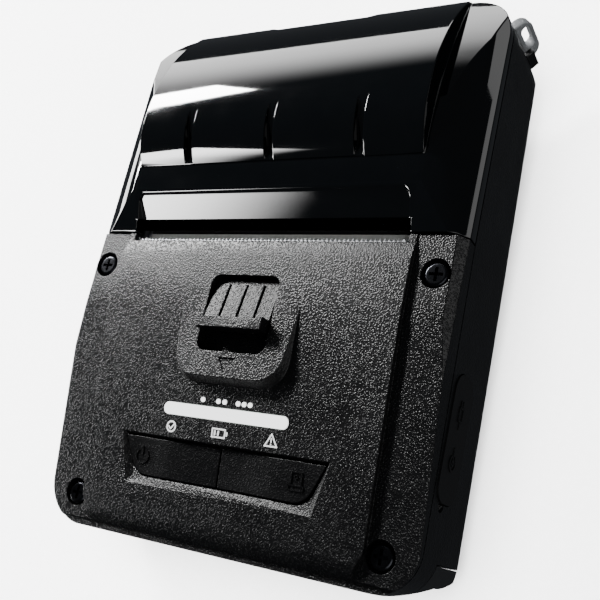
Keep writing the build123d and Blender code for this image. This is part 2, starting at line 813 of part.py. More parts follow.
# ================================================================ print mechanism
frame_top_z = 37.4
with BuildPart() as mechanism_frame:
    inner = plate_inner
    outer = plate_inner + plate_thickness
    add(box_between((-outer, -4, frame_floor_z), (outer, 8.5, frame_floor_z + frame_floor_thickness)))
    add(box_between((-outer, -4, frame_floor_z), (outer, -3, frame_top_z)))
    for side in (-1, 1):
        x0, x1 = sorted((side * inner, side * outer))
        add(box_between((x0, -4, frame_floor_z), (x1, 9, frame_top_z)))
        add(box_between((x0, 8, 26), (x1, 18.4, frame_top_z)))
    # Open cradles for the platen bushes.
    cradle_radius = bush_radius + 0.15
    cradle_low = (-60, platen_y - cradle_radius, platen_z)
    add(box_between(cradle_low, (60, platen_y + cradle_radius, 60)), mode=Mode.SUBTRACT)
    add(rod(cradle_radius, -60, 60, platen_y, platen_z), mode=Mode.SUBTRACT)
    # Lock shaft bearing holes, release lever window, ribbon window, mounting holes.
    add(rod(lock_radius + running_gap, -60, 60, lock_y, lock_z), mode=Mode.SUBTRACT)
    add(box_between((-4, -5, 30), (4, -2, 60)), mode=Mode.SUBTRACT)
    add(box_between((-16, -5, frame_floor_z + 1.2), (16, -2, 24)), mode=Mode.SUBTRACT)
    for x, y in frame_post_places:
        add(post(screw_hole_radius, x, y, 10, 30), mode=Mode.SUBTRACT)
    # Motor mount on the left plate.
    add(box_between((-outer, motor_y - 9, 20.2), (-inner, -3, 36.5)))
    add(rod(2.2, -60, -40, motor_y, motor_z), mode=Mode.SUBTRACT)
    # Idler axle hole.
    add(rod(1.0 + running_gap, -60, -30, idler_y, idler_z), mode=Mode.SUBTRACT)
save(mechanism_frame.part, "mechanism_frame")

frame_seat_z = frame_floor_z + frame_floor_thickness
screw_group([(x, y, frame_seat_z, 8.0) for x, y in frame_post_places], "frame_screws", 2.6, 1.5)

head_back_y = platen_y - platen_radius - 0.3 - 1.5
with BuildPart() as print_head:
    add(box_between((-40.2, head_back_y, 25.2), (40.2, head_back_y + 1.5, 36.4)))
save(print_head.part, "print_head")

heatsink_back_y = 3.4
with BuildPart() as head_heatsink:
    add(box_between((-39.4, heatsink_back_y, 25.2), (39.4, head_back_y, 36.2)))
    for x in range(-36, 37, 6):
        if abs(x) > 3:
            add(box_between((x - 1.2, 0, 31.5), (x + 1.2, heatsink_back_y + 1.4, 40)), mode=Mode.SUBTRACT)
    add(box_between((-3, 0, 20), (3, heatsink_back_y + 0.6, 40)), mode=Mode.SUBTRACT)
save(head_heatsink.part, "head_heatsink")

spring_places = (-24.0, 24.0)
springs = [coil_spring((x, -2.6, 28.5), (0, 1, 0), 0.6, 2.2, heatsink_back_y + 2.2, 4) for x in spring_places]
save(Compound(children=[Solid(s.solid().wrapped) for s in springs]), "head_springs")

ribbon_z = frame_seat_z + 0.25
with BuildPart() as head_ribbon:
    add(box_between((-13, head_back_y - 0.9, ribbon_z), (13, head_back_y - 0.5, 25.1)))
    add(box_between((-13, -20.9, ribbon_z), (13, head_back_y - 0.5, ribbon_z + 0.3)))
save(head_ribbon.part, "head_ribbon")

with BuildPart() as tear_bar:
    add(box_between((-tear_half, 1.2, 38.6), (tear_half, 4.4, 39.8)))
    teeth = int(2 * tear_half / tooth_pitch)
    tooth_points = [(-tear_half, 3.0)]
    for index in range(teeth):
        left = -tear_half + index * tooth_pitch
        tooth_points.append((left, tear_tip_y - 0.8))
        tooth_points.append((left + tooth_pitch / 2, tear_tip_y))
    row_end_x = -tear_half + teeth * tooth_pitch
    tooth_points += [(row_end_x, tear_tip_y - 0.8), (row_end_x, 3.0)]
    with BuildSketch(Plane.XY.offset(39.4)):
        with BuildLine():
            Polyline(*tooth_points, close=True)
        make_face()
    extrude(amount=0.8)
save(tear_bar.part, "tear_bar")


def spur_gear(teeth, x0, width, y, z, bore, phase):
    """Small spur gear along X with straight-flanked teeth; phase in degrees turns the first tooth."""
    pitch_r = pitch_radius(teeth)
    tip = pitch_r + 0.85 * gear_module
    root = pitch_r - 1.2 * gear_module
    step = 2 * pi / teeth
    points = []
    for index in range(teeth):
        centre = radians(phase) + index * step
        for radius, share in ((root, -0.27), (tip, -0.09), (tip, 0.09), (root, 0.27)):
            angle = centre + share * step
            points.append((y + radius * cos(angle), z + radius * sin(angle)))
    with BuildPart() as gear:
        with BuildSketch(Plane.YZ.offset(x0)):
            with BuildLine():
                Polyline(*points, close=True)
            make_face()
            with Locations((y, z)):
                Circle(bore, mode=Mode.SUBTRACT)
        extrude(amount=width)
    return gear.part


gear_x = -gear_inner_x - gear_width
to_pinion = degrees(atan2(motor_z - idler_z, motor_y - idler_y))
to_platen = degrees(atan2(platen_z - idler_z, platen_y - idler_y))
idler_step = 360 / idler_teeth
# The idler's first tooth points at the pinion, which shows a gap there.
# The platen gear is turned to fit the idler.
offset_steps = (to_platen - to_pinion) / idler_step
tooth_share = offset_steps - round(offset_steps)
pinion_phase = to_pinion + 180 + 180 / pinion_teeth
platen_phase = to_platen + 180 + 180 / platen_teeth + tooth_share * 360 / platen_teeth
axle_radius = 1.0
save(spur_gear(pinion_teeth, gear_x, gear_width, motor_y, motor_z, 0.75, pinion_phase), "motor_pinion")
save(spur_gear(idler_teeth, gear_x, gear_width, idler_y, idler_z, axle_radius + running_gap, to_pinion), "idler_gear")
save(spur_gear(platen_teeth, gear_x, gear_width, platen_y, platen_z, shaft_radius, platen_phase), "platen_gear")

# The axle is riveted in the side plate and ends level with its inner face, clear of the lock hook.
axle_stub = 0.1
with BuildPart() as idler_axle:
    add(rod(axle_radius, gear_x - 0.5, -plate_inner + axle_stub, idler_y, idler_z))
    add(rod(1.8, gear_x - 0.5, gear_x - 0.1, idler_y, idler_z))
save(idler_axle.part, "idler_axle")

with BuildPart() as stepper_motor:
    add(rod(motor_radius, -plate_inner + 0.1, -plate_inner + motor_length, motor_y, motor_z))
    add(rod(2.0, -plate_inner - 0.8, -plate_inner + 1, motor_y, motor_z))
save(stepper_motor.part, "stepper_motor")

with BuildPart() as motor_shaft:
    add(rod(0.75, gear_x - 0.3, -plate_inner - 0.9, motor_y, motor_z))
save(motor_shaft.part, "motor_shaft")

# ---------------------------------------------------------------- cover lock
lever_top_z = lock_z + 15.0
nose_low = platen_z + shaft_radius + 0.35
with BuildPart() as lock_shaft:
    add(rod(lock_radius, -plate_inner - plate_thickness, plate_inner + plate_thickness, lock_y, lock_z))
    for side in (-1, 1):
        x0 = side * hook_inner_x if side > 0 else -hook_inner_x - hook_thickness
        with BuildSketch(Plane.YZ.offset(x0)):
            with BuildLine():
                Polyline(
                    (lock_y - 2.0, lock_z - 2.0),
                    (lock_y + 2.0, lock_z - 2.0),
                    (8.6, 29.5),
                    (8.6, nose_low),
                    (14.2, nose_low),
                    (13.4, nose_low + 1.0),
                    (6.0, nose_low + 1.0),
                    (lock_y - 2.0, lock_z + 2.0),
                    close=True,
                )
            make_face()
        extrude(amount=hook_thickness)
    add(box_between((-1.3, lock_y - 2.8, lock_z - 1.2), (1.3, lock_y - 0.8, lever_top_z)))
save(lock_shaft.part, "lock_shaft")

lock_coil = coil_spring((18, lock_y, lock_z), (1, 0, 0), 0.5, lock_radius + 0.6, 7.0, 7)
save(lock_coil, "lock_spring")

with BuildPart() as paper_sensor:
    add(box_between((15, 9.0, 20.2), (25, 14.0, 23.6)))
    add(box_between((15, 4.5, 20.1), (25, 9.5, 21.4)))
save(paper_sensor.part, "paper_sensor")

with BuildPart() as cover_switch:
    add(box_between((plate_inner + plate_thickness, 1.0, 24.5), (45.4, 8.0, 29.5)))
    add(box_between((43.6, 3.6, 29.5), (44.8, 5.4, 30.9)))
save(cover_switch.part, "cover_switch")

# ---------------------------------------------------------------- roll tray
tray_inner = roll_radius + tray_clearance
tray_outer = tray_inner + tray_wall
cheek_inner = roll_width / 2 + 0.9
tray_front_z = 25.5
tray_rear_z = 32.0
with BuildPart() as roll_tray:
    with BuildSketch(Plane.YZ) as tray_section:
        with Locations((roll_y, roll_z)):
            Circle(tray_outer)
            Circle(tray_inner, mode=Mode.SUBTRACT)
        with Locations((roll_y, tray_rear_z + 25)):
            Rectangle(80, 50, mode=Mode.SUBTRACT)
        with Locations((roll_y - 30, tray_front_z + 25)):
            Rectangle(60, 50, mode=Mode.SUBTRACT)
    extrude(amount=cheek_inner + tray_wall, both=True)
    for x0 in (-cheek_inner - tray_wall, cheek_inner):
        with BuildSketch(Plane.YZ.offset(x0)):
            with Locations((roll_y, roll_z)):
                Circle(tray_outer)
            with Locations((roll_y, tray_rear_z + 25)):
                Rectangle(80, 50, mode=Mode.SUBTRACT)
            with Locations((roll_y - 30, tray_front_z + 25)):
                Rectangle(60, 50, mode=Mode.SUBTRACT)
        extrude(amount=tray_wall)
save(roll_tray.part, "roll_tray")

# ================================================================ roll cover
def cover_main(inset):
    """Cover volume without the bulge: sloping front band, wings and rear slope."""
    wing_radius = ((rear_end - 27) ** 2 + (band_z - 0.4 - 34.8) ** 2) / (2 * (band_z - 0.4 - 34.8))
    half_way = (27 + rear_end) / 2
    half_way_z = band_z - 0.4 - (wing_radius - sqrt(wing_radius**2 - (half_way - 27) ** 2))
    with BuildPart() as volume:
        with BuildSketch(Plane.YZ):
            with BuildLine():
                Line((wing_front_y, 25), (wing_front_y, 41.6))
                Line((wing_front_y, 41.6), (band_y, band_z))
                Line((band_y, band_z), (27, band_z - 0.4))
                ThreePointArc((27, band_z - 0.4), (half_way, half_way_z), (rear_end, 34.8))
                Line((rear_end, 34.8), (rear_end, 25))
                Line((rear_end, 25), (wing_front_y, 25))
            make_face()
            if inset:
                offset(amount=-inset, mode=Mode.REPLACE)
        extrude(amount=reach, both=True)
        with BuildSketch(Plane.XZ):
            for side in (-1, 1):
                with BuildLine():
                    Polyline(
                        (side * (rear_half_width + 0.6 - inset), 36.0 - inset),
                        (side * (rear_half_width - 3.2 - inset), 40.6 - inset),
                        (side * (bulge_half - 0.4 - inset), 45.8 - inset),
                        (side * (bulge_half - 0.4 - inset), 70),
                        (side * reach, 70),
                        (side * reach, 36.0 - inset),
                        close=True,
                    )
                make_face()
        extrude(amount=reach, both=True, mode=Mode.SUBTRACT)
        add(outline(inset, 60), mode=Mode.INTERSECT)
    return volume.part


def cover_bulge(inset):
    """Volume of the roll bulge between its two ends."""
    drop = crest_z - bulge_foot_z
    front_radius = ((crest_y - bulge_foot_y) ** 2 + drop**2) / (2 * drop)
    front_mid = (crest_y + bulge_foot_y) / 2
    front_mid_z = crest_z - front_radius + sqrt(front_radius**2 - (crest_y - front_mid) ** 2)
    fall = crest_z - cover_rear_z
    rear_radius = ((rear_end - crest_y) ** 2 + fall**2) / (2 * fall)
    rear_mid = (rear_end + crest_y) / 2
    rear_mid_z = crest_z - rear_radius + sqrt(rear_radius**2 - (rear_mid - crest_y) ** 2)
    with BuildPart() as volume:
        with BuildSketch(Plane.YZ):
            with BuildLine():
                ThreePointArc((bulge_foot_y, bulge_foot_z), (front_mid, front_mid_z), (crest_y, crest_z))
                ThreePointArc((crest_y, crest_z), (rear_mid, rear_mid_z), (rear_end, cover_rear_z))
                Polyline((rear_end, cover_rear_z), (rear_end, 27), (bulge_foot_y, 27), (bulge_foot_y, bulge_foot_z))
            make_face()
            if inset:
                offset(amount=-inset, mode=Mode.REPLACE)
        extrude(amount=bulge_half - inset, both=True)
    return volume.part


cover_lower_cut = [
    (-reach, -10),
    (-reach, seam_rear_z + seam_gap / 2),
    (64.45, seam_rear_z + seam_gap / 2),
    (64.45, lip_bottom_z),
    (reach, lip_bottom_z),
    (reach, -10),
]
boss_screw_places = [(-36.0, 22.0), (-13.0, 22.0), (13.0, 22.0), (36.0, 22.0)]
liner_z = 37.9
liner_thickness = 1.0
window_half = 41.0
groove_places = (-26.0, 0.0, 26.0)
groove_width = 2.4

with BuildPart() as roll_cover:
    add(cover_main(0))
    add(cover_bulge(0))
    # Scooped window across the front edge.
    with BuildPart(mode=Mode.PRIVATE) as scoop:
        add(side_block([(0, 38.9), (9.6, 40.4), (16.4, 44.4), (17.0, 46), (17.0, 60), (0, 60)], window_half))
        fillet(scoop.edges().filter_by(Axis.Z).group_by(Axis.Y)[-1], 3.0)
    add(scoop.part, mode=Mode.SUBTRACT)
    with BuildPart(mode=Mode.PRIVATE) as cover_hollow:
        add(cover_main(cover_wall))
        add(cover_bulge(cover_wall))
        add(side_block([(0, 36.9), (10.2, 38.6), (17.0, 42.4), (19.0, 42.8), (19.0, 60), (0, 60)], window_half + 2),
            mode=Mode.SUBTRACT)
        # Ribs left behind the finger grooves.
        with BuildPart(mode=Mode.PRIVATE) as rib_zone:
            for x in groove_places:
                add(box_between((x - groove_width, bulge_foot_y - 4, 30), (x + groove_width, crest_y + 7, 60)))
            add(cover_bulge(cover_wall + 1.6), mode=Mode.SUBTRACT)
            add(box_between((-60, 0, 30), (60, bulge_foot_y + 4.5, 42.2)), mode=Mode.SUBTRACT)
        add(rib_zone.part, mode=Mode.SUBTRACT)
    add(cover_hollow.part, mode=Mode.SUBTRACT)
    # Paper slot: the cover stops short of the tear bar between the shoulders.
    add(box_between((-window_half - 0.6, 0, 20), (window_half + 0.6, cover_front_y, 60)), mode=Mode.SUBTRACT)
    add(box_between((-50.5, wing_front_y - 1, 20), (50.5, 12, 38.5)), mode=Mode.SUBTRACT)
    add(side_block(cover_lower_cut), mode=Mode.SUBTRACT)
    # Finger grooves over the front of the bulge.
    for x in groove_places:
        with BuildSketch(Plane.YZ.offset(x - groove_width / 2)):
            with BuildLine():
                Polyline(
                    (bulge_foot_y - 3, bulge_foot_z + 0.2),
                    (bulge_foot_y + 4.2, bulge_foot_z + 0.2),
                    (crest_y - 3.0, crest_z - 1.5),
                    (crest_y + 5.0, crest_z + 0.5),
                    (bulge_foot_y - 3, crest_z + 3),
                    close=True,
                )
            make_face()
        extrude(amount=groove_width, mode=Mode.SUBTRACT)
    # Shallow notch in the rear edge.
    with BuildSketch(Plane.XY.offset(33.0)):
        with BuildLine():
            notch_y = rear_end - 1.2
            Polyline((-18.4, rear_end + 1), (18.4, rear_end + 1), (14.5, notch_y), (-14.5, notch_y), close=True)
        make_face()
    extrude(amount=8, mode=Mode.SUBTRACT)
    # Posts for the liner screws and hinge knuckles with their webs.
    for x, y in boss_screw_places:
        add(post(2.8, x, y, liner_z + liner_thickness + 0.1, 43.6))
        add(post(1.05, x, y, 30, 42.6), mode=Mode.SUBTRACT)
    for x0, x1 in cover_knuckle_x:
        add(rod(knuckle_radius, x0, x1, hinge_y, hinge_z))
        add(box_between((x0, hinge_y - 1.6, hinge_z), (x1, hinge_y + 1.6, 38.2)))
        add(rod(hinge_pin_radius + running_gap, x0 - 1, x1 + 1, hinge_y, hinge_z), mode=Mode.SUBTRACT)
save(roll_cover.part, "roll_cover")

with BuildPart() as hinge_pins:
    for x0, x1 in ((-42.6, -26.8), (26.8, 42.6)):
        add(rod(hinge_pin_radius, x0, x1, hinge_y, hinge_z))
save(hinge_pins.part, "hinge_pins")

arm_inner_x = -gear_x + 1.0
arm_thickness = 1.4
with BuildPart() as cover_liner:
    arm_outer_x = arm_inner_x + arm_thickness
    add(box_between((-arm_outer_x, 13.2, liner_z), (arm_outer_x, 26, liner_z + liner_thickness)))
    gear_room = platen_pitch + gear_module + body_gap
    add(
        box_between(
            (gear_x - 0.4, 9, 30), (gear_x + gear_width + 0.4, platen_y + gear_room, liner_z + liner_thickness + 1)
        ),
        mode=Mode.SUBTRACT,
    )
    for side in (-1, 1):
        x0, x1 = sorted((side * arm_inner_x, side * (arm_inner_x + arm_thickness)))
        add(box_between((x0, 9.8, 29.5), (x1, 26, liner_z + liner_thickness)))
    add(rod(shaft_radius + running_gap, -60, 60, platen_y, platen_z), mode=Mode.SUBTRACT)
    for x, y in boss_screw_places:
        add(post(1.3, x, y, 30, 42), mode=Mode.SUBTRACT)
save(cover_liner.part, "cover_liner")

with BuildPart() as cover_screws:
    for x, y in boss_screw_places:
        add(post(1.0, x, y, liner_z, liner_z + 4.0))
        add(post(1.9, x, y, liner_z - 1.2, liner_z))
save(cover_screws.part, "cover_screws")

with BuildPart() as platen_shaft:
    add(rod(shaft_radius, -shaft_half, shaft_half, platen_y, platen_z))
save(platen_shaft.part, "platen_shaft")

with BuildPart() as platen_roller:
    add(rod(platen_radius, -platen_half, platen_half, platen_y, platen_z))
    add(rod(shaft_radius, -60, 60, platen_y, platen_z), mode=Mode.SUBTRACT)
save(platen_roller.part, "platen_roller")

with BuildPart() as platen_bushes:
    for side in (-1, 1):
        x0, x1 = sorted((side * (plate_inner - 0.1), side * (plate_inner + plate_thickness + 0.1)))
        add(rod(bush_radius, x0, x1, platen_y, platen_z))
    add(rod(shaft_radius + running_gap, -60, 60, platen_y, platen_z), mode=Mode.SUBTRACT)
save(platen_bushes.part, "platen_bushes")

# ---------------------------------------------------------------- release slider
slider_floor = upper_face_z - 3.7
slider_half = recess_half - 0.35
slider_rear_y = recess_rear_y - 0.35
slider_front_y = -20.6
ridge_top_z = 45.8
ridge_middle = 0.7
ridge_end = 3.4
ridge_hollow = ridge_end - ridge_middle
thumb_half = slider_half - 1.0
thumb_radius = (thumb_half**2 + ridge_hollow**2) / (2 * ridge_hollow)
grip_groove = 0.6
with BuildPart() as release_slider:
    with BuildSketch(Plane.YZ):
        with BuildLine():
            Polyline(
                (slider_rear_y, slider_floor),
                (slider_rear_y, upper_face_z - 1.8),
                (slider_front_y + ridge_end, upper_face_z + 0.2),
                (slider_front_y, upper_face_z + 0.2),
                (slider_front_y + 0.4, slider_floor),
                close=True,
            )
        make_face()
    extrude(amount=slider_half, both=True)
    fillet(release_slider.edges().filter_by(Axis.Z).group_by(Axis.Y)[-1], 1.6)
    # Pull ridge: thin in the middle and deeper at its ends, hollowed for the fingertip.
    with BuildSketch(Plane.XY.offset(upper_face_z)):
        with Locations((0, slider_front_y - 0.4 + ridge_end / 2)):
            Rectangle(2 * slider_half, ridge_end)
        with Locations((0, slider_front_y - 0.4 + ridge_middle + thumb_radius)):
            Circle(thumb_radius, mode=Mode.SUBTRACT)
    extrude(amount=ridge_top_z - upper_face_z)
    for x in (-5.2, 0.0, 5.2):
        with BuildSketch(Plane.YZ.offset(x - grip_groove / 2)):
            with BuildLine():
                Polyline((-17.2, 41.2), (-8.2, 39.8), (-8.2, 50), (-17.2, 50), close=True)
            make_face()
        extrude(amount=grip_groove, mode=Mode.SUBTRACT)
    # Tongue through the tray floor to the lock lever, with the slot that takes its tip.
    add(box_between((-3.6, tongue_front_y, 36.0), (3.6, -11.5, slider_floor + 0.3)))
    add(box_between((-3.6, tongue_front_y, 35.6), (3.6, -7.8, 36.9)))
    add(box_between((-3.2, -8.0, 35.6), (3.2, lock_y + 0.6, 36.9)))
    add(box_between((-1.7, lock_y - 3.2, 30), (1.7, lock_y - 0.4, 37.2)), mode=Mode.SUBTRACT)
save(release_slider.part, "release_slider")

# ---------------------------------------------------------------- strap lug
lug_height = lug_high_z - lug_low_z
lug_plane = Plane(lug_location) * Location((0, 0, 0), (90, 0, 0))
with BuildPart() as strap_lug:
    with BuildSketch(lug_plane) as lug_outline:
        with Locations(((lug_inner + lug_outer) / 2, (lug_low_z + lug_high_z) / 2)):
            Rectangle(lug_outer - lug_inner, lug_height)
        fillet(lug_outline.vertices().group_by(Axis.X)[-1], 3.6)
        with Locations(((lug_inner + lug_outer) / 2 + 0.1, (lug_low_z + lug_high_z) / 2 + 1.0)):
            SlotOverall(7.6, 2.4, rotation=90, mode=Mode.SUBTRACT)
    extrude(amount=lug_thickness / 2, both=True)
save(strap_lug.part, "strap_lug")
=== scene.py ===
"""Mobile receipt printer: finishes, printed marks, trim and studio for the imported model."""

import json
import logging
import math
from dataclasses import dataclass
from enum import Enum
from typing import Callable, Iterable, Mapping, Sequence

import bpy
from mathutils import Matrix, Vector

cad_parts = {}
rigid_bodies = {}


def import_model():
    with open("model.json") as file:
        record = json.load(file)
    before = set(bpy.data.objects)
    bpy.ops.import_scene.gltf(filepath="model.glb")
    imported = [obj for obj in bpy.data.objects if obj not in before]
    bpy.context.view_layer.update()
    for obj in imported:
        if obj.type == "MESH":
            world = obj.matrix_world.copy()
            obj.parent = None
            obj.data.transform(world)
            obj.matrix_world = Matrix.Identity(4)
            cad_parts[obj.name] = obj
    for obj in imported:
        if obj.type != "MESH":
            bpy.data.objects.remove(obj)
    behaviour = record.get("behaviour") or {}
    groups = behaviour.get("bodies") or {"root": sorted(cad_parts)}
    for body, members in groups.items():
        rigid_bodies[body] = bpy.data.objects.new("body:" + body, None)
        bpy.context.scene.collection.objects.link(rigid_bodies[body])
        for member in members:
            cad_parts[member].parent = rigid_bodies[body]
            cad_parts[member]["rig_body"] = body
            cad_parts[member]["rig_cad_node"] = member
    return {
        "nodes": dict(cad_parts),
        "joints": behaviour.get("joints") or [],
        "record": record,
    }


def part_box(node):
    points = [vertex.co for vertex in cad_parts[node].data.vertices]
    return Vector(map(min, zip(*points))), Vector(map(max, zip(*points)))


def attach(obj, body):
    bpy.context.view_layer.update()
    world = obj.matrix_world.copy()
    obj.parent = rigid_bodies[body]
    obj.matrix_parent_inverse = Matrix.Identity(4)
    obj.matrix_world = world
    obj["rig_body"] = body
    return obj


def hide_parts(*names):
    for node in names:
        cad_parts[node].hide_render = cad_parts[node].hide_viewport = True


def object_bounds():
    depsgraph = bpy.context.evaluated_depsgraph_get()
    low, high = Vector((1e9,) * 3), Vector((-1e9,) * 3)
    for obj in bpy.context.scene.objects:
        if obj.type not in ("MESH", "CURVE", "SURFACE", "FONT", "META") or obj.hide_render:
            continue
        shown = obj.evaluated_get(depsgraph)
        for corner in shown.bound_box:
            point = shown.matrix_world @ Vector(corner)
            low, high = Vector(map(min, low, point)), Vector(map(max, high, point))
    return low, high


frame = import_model()
CAD_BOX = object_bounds()
NODES = frame["nodes"]
MM = 0.001

# Patterns: how far brushing stretches them, drifts in a metre, cells to a grain, and how far from its
# middle a grain's top starts to fall and ends.
BRUSH_STRETCH = 0.06
DRIFT_SCALE = 85.0
DRIFT_LOW = 0.3
DRIFT_HIGH = 0.7
GRAIN_CELL = 0.9
CELL_TOP = 0.12
CELL_RIM = 0.62
# How much of the pattern's height the body colour keeps, and the height over which the colours change.
BODY_HEIGHT = 0.62
COLOUR_STEP = 0.34
# Fading lights: where across their face they are dark and full, and how bright the full side is.
FADE_DARK = 0.95
FADE_FULL = 0.25
FADE_GAIN = 1.6
# Tracks on a board: pattern sizes in one track, and the share of it that is bare.
TRACK_LENGTH = 6
TRACK_GAP = 0.018
# Smoothest that any surface gets, and the roughness of a clear layer.
SMOOTHEST = 0.02
COAT_ROUGHNESS = 0.05
# Welding of a copied mesh: distance in metres, turn in degrees that counts as flat, what is added to the
# edge angle for smooth shading, and how strongly large faces keep their shading flat.
WELD = 0.000002
FLAT = 0.4
SMOOTH_MARGIN = 6
FACE_WEIGHT = 80
# Depth of the ink's foot in the face in millimetres, and the least slope of an upright edge.
INK_SINK = 0.1
UPRIGHT = 0.6

logging.basicConfig(level=logging.INFO, format="%(name)s %(message)s")
log = logging.getLogger("printer")


# ---------------------------------------------------------------- finishes
def linear(code: str) -> tuple[float, float, float, float]:
    """Turns an sRGB hex colour into linear RGBA.

    Args:
        code: colour such as "#0b0c0d".

    Returns:
        The linear red, green and blue, with alpha 1.
    """
    parts = [int(code[i : i + 2], 16) / 255 for i in (1, 3, 5)]
    done = [c / 12.92 if c <= 0.04045 else ((c + 0.055) / 1.055) ** 2.4 for c in parts]
    return (done[0], done[1], done[2], 1.0)


def add_node(
    tree: bpy.types.NodeTree,
    kind: str,
    values: Mapping[str | int, object] | None = None,
    links: Mapping[str | int, bpy.types.NodeSocket] | None = None,
    **settings: object,
) -> bpy.types.Node:
    """Adds one shader node with its settings, socket values and incoming links.

    Args:
        tree: node tree that takes the node.
        kind: Blender's node type name.
        values: input socket values by name or index.
        links: output sockets to join to inputs, by input name or index.
        settings: node properties.

    Returns:
        The new node.
    """
    node = tree.nodes.new(kind)
    for key, value in settings.items():
        setattr(node, key, value)
    for key, value in (values or {}).items():
        node.inputs[key].default_value = value
    for key, source in (links or {}).items():
        tree.links.new(source, node.inputs[key])
    return node


class Relief(Enum):
    """How the surface of a finish was made, which sets its fine pattern."""

    GRAINED = "spark-eroded mould grain"
    POLISHED = "polished mould"
    BRUSHED = "brushed or ground along one way"
    CAST = "fine matt"
    PRINTED = "printed film"
    TRACED = "etched tracks under lacquer"


